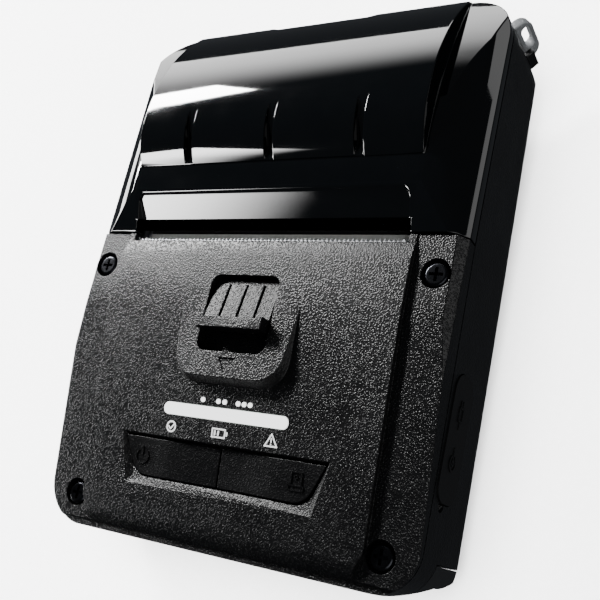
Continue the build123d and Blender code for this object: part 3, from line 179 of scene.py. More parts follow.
@dataclass(frozen=True)
class Finish:
    """One real material with the way its surface was made.

    Attributes:
        name: name of the material, after the real one and its process.
        slot: material slot of the record.
        base: body colour.
        accent: colour of the raised grain, tracks or streaks; on the black grained ABS and POM of the case,
            keys and slider it is a painted highlight on the grain tops, and where there is glow it is the
            glow's colour.
        roughness: middle roughness of the surface.
        spread: how far the roughness varies each way.
        metallic: 1 for bare metal.
        grain_mm: real size of the pattern.
        depth_mm: height of the pattern.
        relief: how the surface was made.
        ior: index of refraction, for anything but metal.
        coat: clear layer weight.
        shine: specular level, 0.5 for a clean smooth surface and less where grain traps the light.
        glow: light given off, for the lamps, and a painted glow on the white ink, which is no lamp.
        accent_share: how much of the surface the accent covers, 0 to 1.
    """

    name: str
    slot: str
    base: str
    accent: str
    roughness: float
    spread: float = 0.05
    metallic: float = 0.0
    grain_mm: float = 0.5
    depth_mm: float = 0.02
    relief: Relief = Relief.CAST
    ior: float = 1.5
    coat: float = 0.0
    shine: float = 0.5
    glow: float = 0.0
    accent_share: float = 0.3

    def _place(self, tree: bpy.types.NodeTree) -> bpy.types.NodeSocket:
        """Object coordinates, stretched along X where the surface was brushed.

        Args:
            tree: node tree of the material.

        Returns:
            The coordinates in metres.
        """
        where = add_node(tree, "ShaderNodeTexCoord").outputs["Object"]
        if self.relief is not Relief.BRUSHED:
            return where
        along = {"Scale": (BRUSH_STRETCH, 1.0, 1.0)}
        stretch = add_node(tree, "ShaderNodeMapping", along, {"Vector": where})
        return stretch.outputs["Vector"]

    def _pattern(self, tree: bpy.types.NodeTree, where: bpy.types.NodeSocket) -> bpy.types.NodeSocket:
        """Fine pattern of the surface, from 0 in its hollows to 1 on its tops.

        Args:
            tree: node tree of the material.
            where: coordinates of the surface in metres.

        Returns:
            The pattern's height.
        """
        scale = 1.0 / (self.grain_mm * MM)
        if self.relief is Relief.TRACED:
            bricks = add_node(
                tree,
                "ShaderNodeTexBrick",
                {
                    "Scale": scale / TRACK_LENGTH,
                    "Mortar Size": TRACK_GAP,
                    "Color1": (1, 1, 1, 1),
                    "Color2": (1, 1, 1, 1),
                    "Mortar": (0, 0, 0, 1),
                },
                {"Vector": where},
                offset=0.37,
                squash=1.7,
            )
            return bricks.outputs["Fac"]
        noise = add_node(
            tree,
            "ShaderNodeTexNoise",
            {"Scale": scale, "Detail": 3.0, "Roughness": 0.62},
            {"Vector": where},
        )
        if self.relief is not Relief.GRAINED:
            return noise.outputs["Fac"]
        cells = add_node(
            tree, "ShaderNodeTexVoronoi", {"Scale": scale * GRAIN_CELL}, {"Vector": where}, feature="F1"
        )
        tops = add_node(
            tree,
            "ShaderNodeMapRange",
            {"From Min": CELL_RIM, "From Max": CELL_TOP, "To Min": 0.0, "To Max": 1.0},
            {"Value": cells.outputs["Distance"]},
        )
        return add_node(
            tree,
            "ShaderNodeMath",
            {},
            {0: tops.outputs["Result"], 1: noise.outputs["Fac"]},
            operation="MULTIPLY",
        ).outputs["Value"]

    def _drift(self, tree: bpy.types.NodeTree, where: bpy.types.NodeSocket) -> bpy.types.NodeSocket:
        """Slow change over the surface, about 12 mm across, from handling and flow in the mould.

        Args:
            tree: node tree of the material.
            where: coordinates of the surface in metres.

        Returns:
            The change, from 0 to 1.
        """
        return add_node(
            tree, "ShaderNodeTexNoise", {"Scale": DRIFT_SCALE, "Detail": 2.0}, {"Vector": where}
        ).outputs["Fac"]

    def material(self) -> bpy.types.Material:
        """Makes the finish as a material, once.

        Returns:
            The material.
        """
        made = bpy.data.materials.get(self.name)
        if made:
            return made
        made = bpy.data.materials.new(self.name)
        made.use_nodes = True
        tree = made.node_tree
        tree.nodes.clear()
        where = self._place(tree)
        pattern = self._pattern(tree, where)
        drift = self._drift(tree, where)
        # The accent on the pattern's tops is the real colour of grains, tracks and streaks, but a painted
        # highlight on the black grained ABS and POM.
        bottom = BODY_HEIGHT * (1.0 - self.accent_share)
        top = min(1.0, bottom + COLOUR_STEP)
        share = add_node(
            tree,
            "ShaderNodeMapRange",
            {"From Min": bottom, "From Max": top, "To Min": 0.0, "To Max": 1.0},
            {"Value": pattern},
        ).outputs["Result"]
        colour = add_node(
            tree,
            "ShaderNodeMix",
            {6: linear(self.base), 7: linear(self.accent)},
            {0: share},
            data_type="RGBA",
        )
        rough = add_node(
            tree,
            "ShaderNodeMapRange",
            {
                "From Min": DRIFT_LOW,
                "From Max": DRIFT_HIGH,
                "To Min": max(SMOOTHEST, self.roughness - self.spread),
                "To Max": self.roughness + self.spread,
            },
            {"Value": drift},
        ).outputs["Result"]
        bump = add_node(
            tree,
            "ShaderNodeBump",
            {"Strength": 1.0, "Distance": self.depth_mm * MM},
            {"Height": pattern},
        ).outputs["Normal"]
        shader = add_node(
            tree,
            "ShaderNodeBsdfPrincipled",
            {
                "Metallic": self.metallic,
                "IOR": self.ior,
                "Specular IOR Level": self.shine,
                "Coat Weight": self.coat,
                "Coat Roughness": COAT_ROUGHNESS,
            },
            {"Base Color": colour.outputs[2], "Roughness": rough, "Normal": bump},
        )
        # The light bar's glow is a real lamp; the white ink's glow is painted light.
        if self.glow:
            shader.inputs["Emission Color"].default_value = linear(self.accent)
            shader.inputs["Emission Strength"].default_value = self.glow
        add_node(tree, "ShaderNodeOutputMaterial", {}, {"Surface": shader.outputs["BSDF"]})
        return made


# Black ABS from a spark-eroded mould: dull, with a grain whose tops are painted lighter in the accent colour,
# a painted highlight where they would catch the light one by one.
# The real grain is about 0.25 mm wide and is drawn coarser here, so that it shows.
HOUSING = Finish(
    "abs_black_spark_eroded_painted_sheen", "housing_black", "#050506", "#2c2d2d", 0.36, 0.04,
    grain_mm=0.42, depth_mm=0.16, relief=Relief.GRAINED, accent_share=0.4, shine=0.3,
)
# Black ABS from a polished mould: near mirror, with the faintest flow marks.
PIANO = Finish(
    "abs_black_polished", "cover_gloss", "#020304", "#030405", 0.045, 0.015,
    grain_mm=9.0, depth_mm=0.004, relief=Relief.POLISHED,
)
# Black ABS keys: the same grain, but shallower and with a darker accent, so the painted highlight on the
# grain tops is weaker and they look darker.
KEY = Finish(
    "abs_black_fine_grain_painted_sheen", "key_black", "#040405", "#1c1d1d", 0.38, 0.04,
    grain_mm=0.42, depth_mm=0.1, relief=Relief.GRAINED, accent_share=0.34, shine=0.26,
)
# Black POM slider: the same grain, with its tops painted lighter as a painted highlight.
SLIDER = Finish(
    "pom_black_grained_painted_sheen", "slider_black", "#050506", "#2a2b2b", 0.38, 0.04,
    grain_mm=0.42, depth_mm=0.13, relief=Relief.GRAINED, accent_share=0.42, shine=0.26,
)
# Black TPE moulded soft: matt, with a dusty bloom.
RUBBER = Finish(
    "tpe_black_matt", "door_rubber", "#0b0b0c", "#1d1d1e", 0.52, 0.06,
    grain_mm=0.5, depth_mm=0.05, relief=Relief.GRAINED, accent_share=0.3, ior=1.48, shine=0.3,
)
# Grey glass-filled nylon: pale grains in a darker body.
NYLON = Finish(
    "nylon_grey_glass_filled", "lug_grey", "#77797b", "#b4b6b8", 0.5, 0.06,
    grain_mm=0.6, depth_mm=0.06, relief=Relief.GRAINED, accent_share=0.5, ior=1.53,
)
LINER = Finish(
    "abs_black_plain", "liner_black", "#141516", "#1f2021", 0.5, 0.05,
    grain_mm=0.3, depth_mm=0.01, relief=Relief.CAST,
)
BATTERY = Finish(
    "abs_black_battery", "battery_black", "#111213", "#3a3b3c", 0.48, 0.05,
    grain_mm=0.42, depth_mm=0.06, relief=Relief.GRAINED, accent_share=0.36,
)
LATCH = Finish(
    "pom_grey_moulded", "latch_grey", "#3a3c3e", "#4a4c4e", 0.4, 0.05, grain_mm=0.4, depth_mm=0.01,
)
# Black zinc on steel: dark metal with sharp glints on its edges.
BLACK_ZINC = Finish(
    "steel_black_zinc", "screw_black", "#26272a", "#3a3b3f", 0.24, 0.06, metallic=1.0,
    grain_mm=0.25, depth_mm=0.006, relief=Relief.CAST,
)
STEEL = Finish(
    "steel_zinc_plated", "steel", "#b8bbbe", "#cfd1d3", 0.3, 0.06, metallic=1.0,
    grain_mm=0.2, depth_mm=0.004, relief=Relief.BRUSHED,
)
# Stainless strip, cut and deburred: bright and lightly streaked.
TEAR_STEEL = Finish(
    "stainless_ground", "tear_steel", "#c9cbcd", "#e6e7e8", 0.26, 0.07, metallic=1.0,
    grain_mm=0.25, depth_mm=0.01, relief=Relief.BRUSHED,
)
MOTOR_STEEL = Finish(
    "steel_nickel_drawn", "motor_steel", "#9b9da0", "#b5b7b9", 0.34, 0.06, metallic=1.0,
    grain_mm=0.35, depth_mm=0.005, relief=Relief.BRUSHED,
)
SPRING = Finish(
    "steel_music_wire", "spring_steel", "#8d9094", "#a9acaf", 0.28, 0.05, metallic=1.0,
    grain_mm=0.2, depth_mm=0.003, relief=Relief.BRUSHED,
)
ALUMINIUM = Finish(
    "aluminium_extruded", "aluminium", "#bfc1c4", "#d4d6d8", 0.36, 0.06, metallic=1.0,
    grain_mm=0.35, depth_mm=0.006, relief=Relief.BRUSHED,
)
BRASS = Finish(
    "brass_turned", "brass", "#c79a4a", "#dcb56a", 0.27, 0.05, metallic=1.0,
    grain_mm=0.2, depth_mm=0.004, relief=Relief.BRUSHED,
)
GOLD = Finish(
    "contact_gold_plate", "contact_gold", "#d8ae52", "#ecc877", 0.22, 0.04, metallic=1.0,
    grain_mm=0.3, depth_mm=0.003, relief=Relief.BRUSHED,
)
# Opal acrylic over lamps that are lit: even and white.
LIGHT = Finish(
    "acrylic_opal_lit", "light_white", "#f2f4f5", "#ffffff", 0.3, 0.04,
    grain_mm=0.6, depth_mm=0.004, relief=Relief.POLISHED, glow=1.6, ior=1.49,
)
# White pad-printed ink: slightly broken at its edges, with a painted glow that makes it shine though it is no
# lamp.
INK = Finish(
    "ink_white_pad_print_painted_glow", "light_white", "#d9dbdc", "#ffffff", 0.55, 0.05,
    grain_mm=0.25, depth_mm=0.01, relief=Relief.PRINTED, glow=0.35, accent_share=0.6,
)
SILICONE = Finish(
    "silicone_grey_moulded", "silicone_grey", "#5d6063", "#6b6e71", 0.55, 0.05,
    grain_mm=0.6, depth_mm=0.006, relief=Relief.CAST, ior=1.43,
)
# Green solder mask over copper tracks.
BOARD = Finish(
    "fr4_green_mask", "board_green", "#0d5a2c", "#2f8a4e", 0.28, 0.05,
    grain_mm=0.55, depth_mm=0.012, relief=Relief.TRACED, accent_share=0.6, coat=0.3,
)
CHIP = Finish(
    "epoxy_black_moulded", "chip_black", "#17181a", "#232427", 0.5, 0.05,
    grain_mm=0.2, depth_mm=0.006, relief=Relief.CAST,
)
# Alumina with a fired glaze: white and smooth.
CERAMIC = Finish(
    "alumina_glazed", "ceramic_white", "#dcdcd6", "#ecebe6", 0.16, 0.04,
    grain_mm=1.2, depth_mm=0.003, relief=Relief.POLISHED, ior=1.6,
)
# Polyimide film over copper: amber with fine tracks along it.
RIBBON = Finish(
    "polyimide_amber_tracked", "ribbon_amber", "#a85f1c", "#d08a3c", 0.3, 0.05,
    grain_mm=0.5, depth_mm=0.008, relief=Relief.TRACED, ior=1.7, accent_share=0.6,
)
# White acetal gears: waxy and slightly clouded.
ACETAL = Finish(
    "pom_white_moulded", "gear_white", "#d8d8d2", "#e8e8e3", 0.38, 0.05,
    grain_mm=0.8, depth_mm=0.004, relief=Relief.CAST, ior=1.48,
)
# Ground silicone rubber on the platen: matt with fine grinding lines.
PLATEN = Finish(
    "silicone_black_ground", "platen_rubber", "#1a1b1c", "#26272a", 0.68, 0.06,
    grain_mm=0.35, depth_mm=0.012, relief=Relief.CAST, ior=1.43,
)
BUSH = Finish(
    "peek_tan_moulded", "bush_tan", "#a8875c", "#b8976c", 0.45, 0.05, grain_mm=0.5, depth_mm=0.005,
)

# White background paper: matt, with the faintest fibre.
PAPER = Finish(
    "studio_paper_white", "floor", "#f3f3f3", "#f7f7f7", 0.85, 0.03, grain_mm=2.0, depth_mm=0.01,
)

NODE_FINISHES: dict[str, Finish] = {
    finish.slot: finish
    for finish in (
        HOUSING, PIANO, KEY, SLIDER, RUBBER, NYLON, LINER, BATTERY, LATCH, BLACK_ZINC, STEEL, TEAR_STEEL,
        MOTOR_STEEL, SPRING, ALUMINIUM, BRASS, GOLD, LIGHT, SILICONE, BOARD, CHIP, CERAMIC, RIBBON, ACETAL,
        PLATEN, BUSH,
    )
}


def dress_nodes() -> None:
    """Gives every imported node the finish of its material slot."""
    slots = {part["node"]: part["material_slot"] for part in frame["record"]["subparts"]}
    for name, node in NODES.items():
        finish = NODE_FINISHES[slots[name]]
        node.data.materials.clear()
        node.data.materials.append(finish.material())
        log.info("node %s: %s", name, finish.name)


# ---------------------------------------------------------------- modelling by hand
def deselect() -> None:
    """Leaves edit mode and deselects everything."""
    if bpy.context.mode != "OBJECT":
        bpy.ops.object.mode_set(mode="OBJECT")
    bpy.ops.object.select_all(action="DESELECT")


def pick(piece: bpy.types.Object, test: Callable[[Vector], bool], what: str = "VERT") -> None:
    """Selects vertices or faces of the active mesh in edit mode by their place.

    Args:
        piece: object in edit mode.
        test: takes a vertex's or a face centre's place and says whether it is chosen.
        what: "VERT" or "FACE".
    """
    bpy.ops.mesh.select_mode(type=what)
    bpy.ops.mesh.select_all(action="DESELECT")
    bpy.ops.object.mode_set(mode="OBJECT")
    members = piece.data.vertices if what == "VERT" else piece.data.polygons
    for member in members:
        member.select = test(member.co if what == "VERT" else member.center)
    bpy.ops.object.mode_set(mode="EDIT")


def settle(piece: bpy.types.Object) -> None:
    """Puts a piece's place into its mesh, so that its object stands unturned at the origin.

    Args:
        piece: object to settle.
    """
    deselect()
    piece.select_set(True)
    bpy.context.view_layer.objects.active = piece
    bpy.ops.object.transform_apply(location=True, rotation=True, scale=True)


def join(pieces: Sequence[bpy.types.Object], name: str) -> bpy.types.Object:
    """Joins pieces into one object.

    Args:
        pieces: settled pieces.
        name: name of the joined object.

    Returns:
        The joined object.
    """
    deselect()
    for piece in pieces:
        piece.select_set(True)
    bpy.context.view_layer.objects.active = pieces[0]
    if len(pieces) > 1:
        bpy.ops.object.join()
    whole = bpy.context.active_object
    whole.name = name
    whole.data.name = name
    return whole


def hand_over(
    piece: bpy.types.Object, body: str, finish: Finish, replaced: Iterable[str] = ()
) -> bpy.types.Object:
    """Dresses a finished piece, joins it to its body and reports it.

    Args:
        piece: settled piece.
        body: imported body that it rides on.
        finish: finish that it takes.
        replaced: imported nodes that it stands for.

    Returns:
        The piece.
    """
    piece.data.materials.clear()
    piece.data.materials.append(finish.material())
    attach(piece, body)
    for node in replaced:
        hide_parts(node)
    log.info("piece %s: %d faces, %s, on %s", piece.name, len(piece.data.polygons), finish.name, body)
    return piece


def round_uprights(piece: bpy.types.Object, places: Sequence[Vector], reach: float, radius: float) -> None:
    """Rounds the corner edges that stand up from the control face near some places.

    Args:
        piece: welded mesh.
        places: corners to round, anywhere along their height, in metres.
        reach: how far an edge may lie from its place, in millimetres.
        radius: size of the rounding in millimetres.
    """
    out = press_axis()
    bpy.ops.object.mode_set(mode="EDIT")
    bpy.ops.mesh.select_mode(type="EDGE")
    bpy.ops.mesh.select_all(action="DESELECT")
    bpy.ops.object.mode_set(mode="OBJECT")
    for edge in piece.data.edges:
        start, end = (piece.data.vertices[i].co for i in edge.vertices)
        middle = (start + end) / 2
        upright = abs((end - start).normalized().dot(out)) > UPRIGHT
        offsets = [(middle - place) - out * (middle - place).dot(out) for place in places]
        edge.select = upright and any(gap.length < reach * MM for gap in offsets)
    bpy.ops.object.mode_set(mode="EDIT")
    bpy.ops.mesh.bevel(offset=radius * MM, segments=8, affect="EDGES")
    bpy.ops.object.mode_set(mode="OBJECT")


def key_corners() -> list[Vector]:
    """Outer corners at the foot of the two keys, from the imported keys' own meshes.

    Returns:
        The left key's corner and the right key's.
    """
    corners = []
    for node, side in (("power_key", -1), ("feed_key", 1)):
        points = [v.co.copy() for v in NODES[node].data.vertices]
        foot = min(co.y for co in points)
        corners.append(max((co for co in points if co.y < foot + 1.0 * MM), key=lambda co: co.x * side))
    return corners


def softened(
    node: str,
    name: str,
    width: float,
    angle: float = 28.0,
    corners: Sequence[Vector] = (),
    radius: float = 0.0,
) -> bpy.types.Object:
    """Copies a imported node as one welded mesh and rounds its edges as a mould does.

    Args:
        node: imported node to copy.
        name: name of the new piece.
        width: width of the rounded edges in millimetres.
        angle: largest turn in degrees that stays unrounded.
        corners: places whose upright edges get a larger rounding.
        radius: size of that rounding in millimetres.

    Returns:
        The new piece, at the origin.
    """
    deselect()
    source = NODES[node]
    source.select_set(True)
    bpy.context.view_layer.objects.active = source
    bpy.ops.object.duplicate()
    piece = bpy.context.active_object
    bpy.ops.object.parent_clear(type="CLEAR_KEEP_TRANSFORM")
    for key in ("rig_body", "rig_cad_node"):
        if key in piece:
            del piece[key]
    piece.name = name
    piece.data.name = name
    bpy.ops.mesh.customdata_custom_splitnormals_clear()
    bpy.ops.object.mode_set(mode="EDIT")
    bpy.ops.mesh.select_all(action="SELECT")
    bpy.ops.mesh.remove_doubles(threshold=WELD)
    bpy.ops.mesh.dissolve_limited(angle_limit=math.radians(FLAT))
    bpy.ops.object.mode_set(mode="OBJECT")
    if corners:
        round_uprights(piece, corners, radius, radius)
    edge = piece.modifiers.new("mould edge", "BEVEL")
    edge.width = width * MM
    edge.segments = 2
    edge.limit_method = "ANGLE"
    edge.angle_limit = math.radians(angle)
    edge.use_clamp_overlap = False
    edge.harden_normals = False
    bpy.ops.object.modifier_apply(modifier=edge.name)
    bpy.ops.object.shade_smooth_by_angle(angle=math.radians(angle + SMOOTH_MARGIN))
    level = piece.modifiers.new("level faces", "WEIGHTED_NORMAL")
    level.keep_sharp = True
    level.weight = FACE_WEIGHT
    bpy.ops.object.modifier_apply(modifier=level.name)
    return piece


@dataclass(frozen=True)
class Sheet:
    """Flat drawing plane on the printer, for printed and raised marks.

    Attributes:
        centre: origin of the drawing in metres.
        right: direction of the drawing's x.
        out: direction out of the surface.
    """

    centre: Vector
    right: Vector
    out: Vector

    def matrix(self) -> Matrix:
        """Turns drawing coordinates into places on the printer.

        Returns:
            The drawing plane's own axes and origin.
        """
        out = self.out.normalized()
        right = (self.right - out * self.right.dot(out)).normalized()
        up = out.cross(right)
        turned = Matrix((right, up, out)).transposed().to_4x4()
        return Matrix.Translation(self.centre) @ turned

    def lay(self, piece: bpy.types.Object) -> bpy.types.Object:
        """Moves a piece that was drawn on XY at the origin onto this plane.

        Args:
            piece: settled piece.

        Returns:
            The piece.
        """
        piece.matrix_world = self.matrix() @ piece.matrix_world
        settle(piece)
        return piece


def stroke(
    start: tuple[float, float], end: tuple[float, float], width: float, height: float
) -> bpy.types.Object:
    """Models one round-ended stroke of a mark, lying on XY.

    Args:
        start: first end in millimetres.
        end: second end in millimetres.
        width: width of the stroke in millimetres.
        height: how far it stands up, in millimetres.

    Returns:
        The stroke.
    """
    deselect()
    run = Vector((end[0] - start[0], end[1] - start[1])) * MM
    bpy.ops.mesh.primitive_circle_add(
        vertices=16, radius=width * MM / 2, fill_type="NGON", location=(0, 0, 0)
    )
    piece = bpy.context.active_object
    bpy.ops.object.mode_set(mode="EDIT")
    pick(piece, lambda co: co.x > width * MM * 0.01)
    bpy.ops.transform.translate(value=(run.length, 0, 0))
    bpy.ops.mesh.select_all(action="SELECT")
    bpy.ops.mesh.extrude_region_move(TRANSFORM_OT_translate={"value": (0, 0, height * MM)})
    bpy.ops.transform.resize(value=(1.0, 0.86, 1.0))
    bpy.ops.mesh.select_all(action="SELECT")
    bpy.ops.mesh.normals_make_consistent(inside=False)
    bpy.ops.object.mode_set(mode="OBJECT")
    piece.rotation_euler = (0, 0, math.atan2(run.y, run.x))
    piece.location = (start[0] * MM, start[1] * MM, 0)
    settle(piece)
    return piece


def ring(
    centre: tuple[float, float],
    radius: float,
    width: float,
    height: float,
    gap: float = 0.0,
    turn: float = 90.0,
) -> bpy.types.Object:
    """Models a flat ring, whole or open at one place, lying on XY.

    Args:
        centre: centre in millimetres.
        radius: outer radius in millimetres.
        width: width of its band in millimetres.
        height: how far it stands up, in millimetres.
        gap: size of its opening in degrees.
        turn: direction of the opening in degrees from +X.

    Returns:
        The ring.
    """
    deselect()
    bpy.ops.mesh.primitive_circle_add(vertices=48, radius=radius * MM, location=(0, 0, 0))
    piece = bpy.context.active_object
    bpy.ops.object.mode_set(mode="EDIT")
    if gap:
        way = Vector((math.cos(math.radians(turn)), math.sin(math.radians(turn))))
        pick(piece, lambda co: co.xy.angle(way) < math.radians(gap / 2))
        bpy.ops.mesh.delete(type="VERT")
    bpy.ops.mesh.select_all(action="SELECT")
    bpy.ops.mesh.extrude_edges_move()
    inner = (radius - width) / radius
    bpy.ops.transform.resize(value=(inner, inner, 1.0))
    bpy.ops.mesh.select_all(action="SELECT")
    bpy.ops.mesh.extrude_region_move(TRANSFORM_OT_translate={"value": (0, 0, height * MM)})
    bpy.ops.mesh.select_all(action="SELECT")
    bpy.ops.mesh.normals_make_consistent(inside=False)
    bpy.ops.object.mode_set(mode="OBJECT")
    piece.location = (centre[0] * MM, centre[1] * MM, 0)
    settle(piece)
    return piece


def outline_mark(
    points: Sequence[tuple[float, float]], width: float, height: float
) -> list[bpy.types.Object]:
    """Draws a closed outline with strokes.

    Args:
        points: its corners in millimetres.
        width: width of the strokes in millimetres.
        height: how far they stand up, in millimetres.

    Returns:
        The strokes.
    """
    around = list(points) + [points[0]]
    return [stroke(a, b, width, height) for a, b in zip(around, around[1:])]


def press_axis() -> Vector:
    """Finds the direction out of the control face, against the travel of the keys.

    Returns:
        The direction, one long.
    """
    travel = next(j for j in frame["joints"] if j["name"] == "power_press")["axis"]
    return -Vector(travel).normalized()


def face_sheet() -> Sheet:
    """Drawing plane on the control face, centred on the light bar.

    Returns:
        The plane, a little under the light bar's top.
    """
    out = press_axis()
    low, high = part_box("light_bar")
    top = max(v.co.dot(out) for v in NODES["light_bar"].data.vertices)
    centre = (low + high) / 2
    centre += out * (top - INK_SINK * MM - centre.dot(out))
    return Sheet(centre, Vector((1, 0, 0)), out)


# ---------------------------------------------------------------- sub-assemblies
@dataclass
class RollCover:
    """Glossy cover over the paper roll, with moulded edges that catch the light.

    Attributes:
        edge: width of its rounded edges in millimetres.
    """

    edge: float = 0.32

    def build(self) -> None:
        """Makes the cover and hands it over."""
        cover = softened("roll_cover", "cover_shell", self.edge)
        hand_over(cover, "cover", PIANO, ["roll_cover"])


@dataclass
class Housing:
    """Grained upper shell of the case, with the pull slider and the strap lug.

    Attributes:
        shell_edge: rounding of the shell's edges in millimetres.
        pocket_corner: rounding of the key pocket's lower corners in millimetres.
        slider_edge: rounding of the slider's edges in millimetres.
        lug_edge: rounding of the lug's edges in millimetres.
    """

    shell_edge: float = 0.18
    pocket_corner: float = 3.6
    slider_edge: float = 0.25
    lug_edge: float = 0.5

    def build(self) -> None:
        """Makes the pieces and hands them over."""
        upper = softened(
            "front_shell", "upper_case", self.shell_edge, corners=key_corners(), radius=self.pocket_corner
        )
        hand_over(upper, "case", HOUSING, ["front_shell"])
        slider = softened("release_slider", "pull_slider", self.slider_edge)
        hand_over(slider, "slider", SLIDER, ["release_slider"])
        eye = softened("strap_lug", "strap_eye", self.lug_edge)
        hand_over(eye, "case", NYLON, ["strap_lug"])


@dataclass
class FaceMarks:
    """White printed marks under the light bar: ready, battery and fault.

    Attributes:
        row: y of the marks from the light bar's middle, in millimetres.
        places: x of the three marks in millimetres.
        line: width of the printed lines in millimetres.
        film: height of the ink in millimetres.
    """

    row: float = -4.6
    places: tuple[float, float, float] = (-15.4, -0.6, 14.6)
    line: float = 0.42
    film: float = 0.05

    def ready(self) -> list[bpy.types.Object]:
        """Tick inside a ring.

        Returns:
            The pieces of the mark.
        """
        x, y = self.places[0], self.row
        return [
            ring((x, y), 1.5, self.line, self.film),
            stroke((x - 0.75, y), (x - 0.15, y - 0.6), self.line, self.film),
            stroke((x - 0.15, y - 0.6), (x + 0.8, y + 0.6), self.line, self.film),
        ]

    def battery(self) -> list[bpy.types.Object]:
        """Battery outline with its pole and two charge bars.

        Returns:
            The pieces of the mark.
        """
        x, y = self.places[1], self.row
        corners = [(x - 2.0, y - 1.0), (x + 1.8, y - 1.0), (x + 1.8, y + 1.0), (x - 2.0, y + 1.0)]
        bars = [stroke((x + dx, y - 0.35), (x + dx, y + 0.35), 0.6, self.film) for dx in (-1.2, -0.2)]
        return outline_mark(corners, self.line, self.film) + bars + [
            stroke((x + 2.35, y - 0.3), (x + 2.35, y + 0.3), 0.5, self.film)
        ]

    def fault(self) -> list[bpy.types.Object]:
        """Warning triangle with a bar and a dot.

        Returns:
            The pieces of the mark.
        """
        x, y = self.places[2], self.row
        corners = [(x - 1.7, y - 1.25), (x + 1.7, y - 1.25), (x, y + 1.6)]
        return outline_mark(corners, self.line, self.film) + [
            stroke((x, y + 0.55), (x, y - 0.2), 0.4, self.film),
            stroke((x, y - 0.78), (x, y - 0.74), 0.4, self.film),
        ]

    def build(self) -> None:
        """Makes the three marks and hands them over."""
        sheet = face_sheet()
        marks = {"mark_ready": self.ready, "mark_battery": self.battery, "mark_fault": self.fault}
        for name, draw in marks.items():
            hand_over(sheet.lay(join(draw(), name)), "case", INK)


@dataclass
class Keys:
    """The two keys with their raised marks: on and off, and paper feed.

    Attributes:
        power_at: middle of the power mark on the control face, in millimetres.
        feed_at: middle of the feed mark on the control face, in millimetres.
        line: width of the raised lines in millimetres.
        rise: how far they stand up, in millimetres.
        sunk: depth of the keys' crown below the face, in millimetres.
        key_edge: rounding of the keys' edges in millimetres.
        key_corner: rounding of the keys' outer lower corners in millimetres.
    """

    power_at: tuple[float, float] = (-23.6, -13.0)
    feed_at: tuple[float, float] = (22.6, -12.9)
    line: float = 0.34
    rise: float = 0.26
    sunk: float = 0.5
    key_edge: float = 0.3
    key_corner: float = 3.2

    def crown(self) -> Sheet:
        """Drawing plane on the crown of the keys."""
        face = face_sheet()
        return Sheet(face.centre - face.out * self.sunk * MM, face.right, face.out)

    def key(self, node: str, name: str, body: str) -> None:
        """Makes one key with rounded edges and hands it over."""
        piece = softened(node, name, self.key_edge, corners=key_corners(), radius=self.key_corner)
        hand_over(piece, body, KEY, [node])

    def power(self) -> list[bpy.types.Object]:
        """Open ring with a stroke through its gap.

        Returns:
            The pieces of the mark.
        """
        x, y = self.power_at
        return [
            ring((x, y), 2.1, self.line, self.rise, gap=64.0),
            stroke((x, y + 0.4), (x, y + 2.3), self.line, self.rise),
        ]

    def feed(self) -> list[bpy.types.Object]:
        """Paper that comes up out of a flat printer, with a dot on it.

        Returns:
            The pieces of the mark.
        """
        x, y = self.feed_at
        left, right, top, foot = x - 2.1, x + 1.9, y - 0.9, y - 2.0
        paper = [(x - 1.5, y - 0.6), (x - 1.5, y + 2.2), (x + 1.3, y + 2.2), (x + 1.3, y - 0.6)]
        printer = [
            ((left, top), (right, top)),
            ((left, foot), (right, foot)),
            ((left, top), (left, foot)),
            ((right, top), (right, foot)),
        ]
        lines = list(zip(paper, paper[1:])) + printer
        strokes = [stroke(start, end, self.line, self.rise) for start, end in lines]
        return strokes + [ring((x - 0.2, y + 1.1), 0.5, 0.26, self.rise)]

    def build(self) -> None:
        """Makes both keys with their marks and hands them over."""
        self.key("power_key", "key_left", "power_button")
        self.key("feed_key", "key_right", "feed_button")
        sheet = self.crown()
        hand_over(sheet.lay(join(self.power(), "mark_power")), "power_button", KEY)
        hand_over(sheet.lay(join(self.feed(), "mark_feed")), "feed_button", KEY)


@dataclass
class DoorMarks:
    """Raised marks on the rubber door: power plug and data plug.

    Attributes:
        power_y: y of the power mark from the door's middle, in millimetres.
        data_y: y of the data mark from the door's middle, in millimetres.
        line: width of the raised lines in millimetres.
        rise: how far they stand up, in millimetres.
        sunk: depth of their feet below the door's outermost point, in millimetres.
        flare: how far the door widens for each millimetre towards the rear.
    """

    power_y: float = -5.5
    data_y: float = 5.5
    line: float = 0.5
    rise: float = 0.22
    sunk: float = 0.12
    flare: float = 0.0135

    def build(self) -> None:
        """Makes both marks and hands them over."""
        low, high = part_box("port_door")
        middle = (low + high) / 2
        upper_half = [v.co.x for v in NODES["port_door"].data.vertices if v.co.z > high.z - 6 * MM]
        centre = Vector((max(upper_half) - self.sunk * MM, middle.y, middle.z))
        sheet = Sheet(centre, Vector((0, 1, 0)), Vector((1, -self.flare, 0)))
        y = self.power_y
        marks = [
            ring((y, 0.6), 2.0, self.line, self.rise, gap=50.0, turn=0.0),
            ring((y, 0.6), 0.8, self.line, self.rise),
            stroke((y + 0.9, 0.6), (y + 3.4, 0.6), self.line, self.rise),
        ]
        y = self.data_y
        case = [(y - 1.4, -0.6), (y + 1.6, -0.6), (y + 1.6, 1.8), (y - 1.4, 1.8)]
        marks += outline_mark(case, self.line, self.rise)
        marks += [
            stroke((y + 1.8, 0.0), (y + 3.2, 0.0), self.line, self.rise),
            stroke((y + 1.8, 1.2), (y + 3.2, 1.2), self.line, self.rise),
            stroke((y - 1.6, 0.6), (y - 3.0, 0.6), self.line, self.rise),
        ]
        hand_over(sheet.lay(join(marks, "marks_door")), "door", RUBBER)


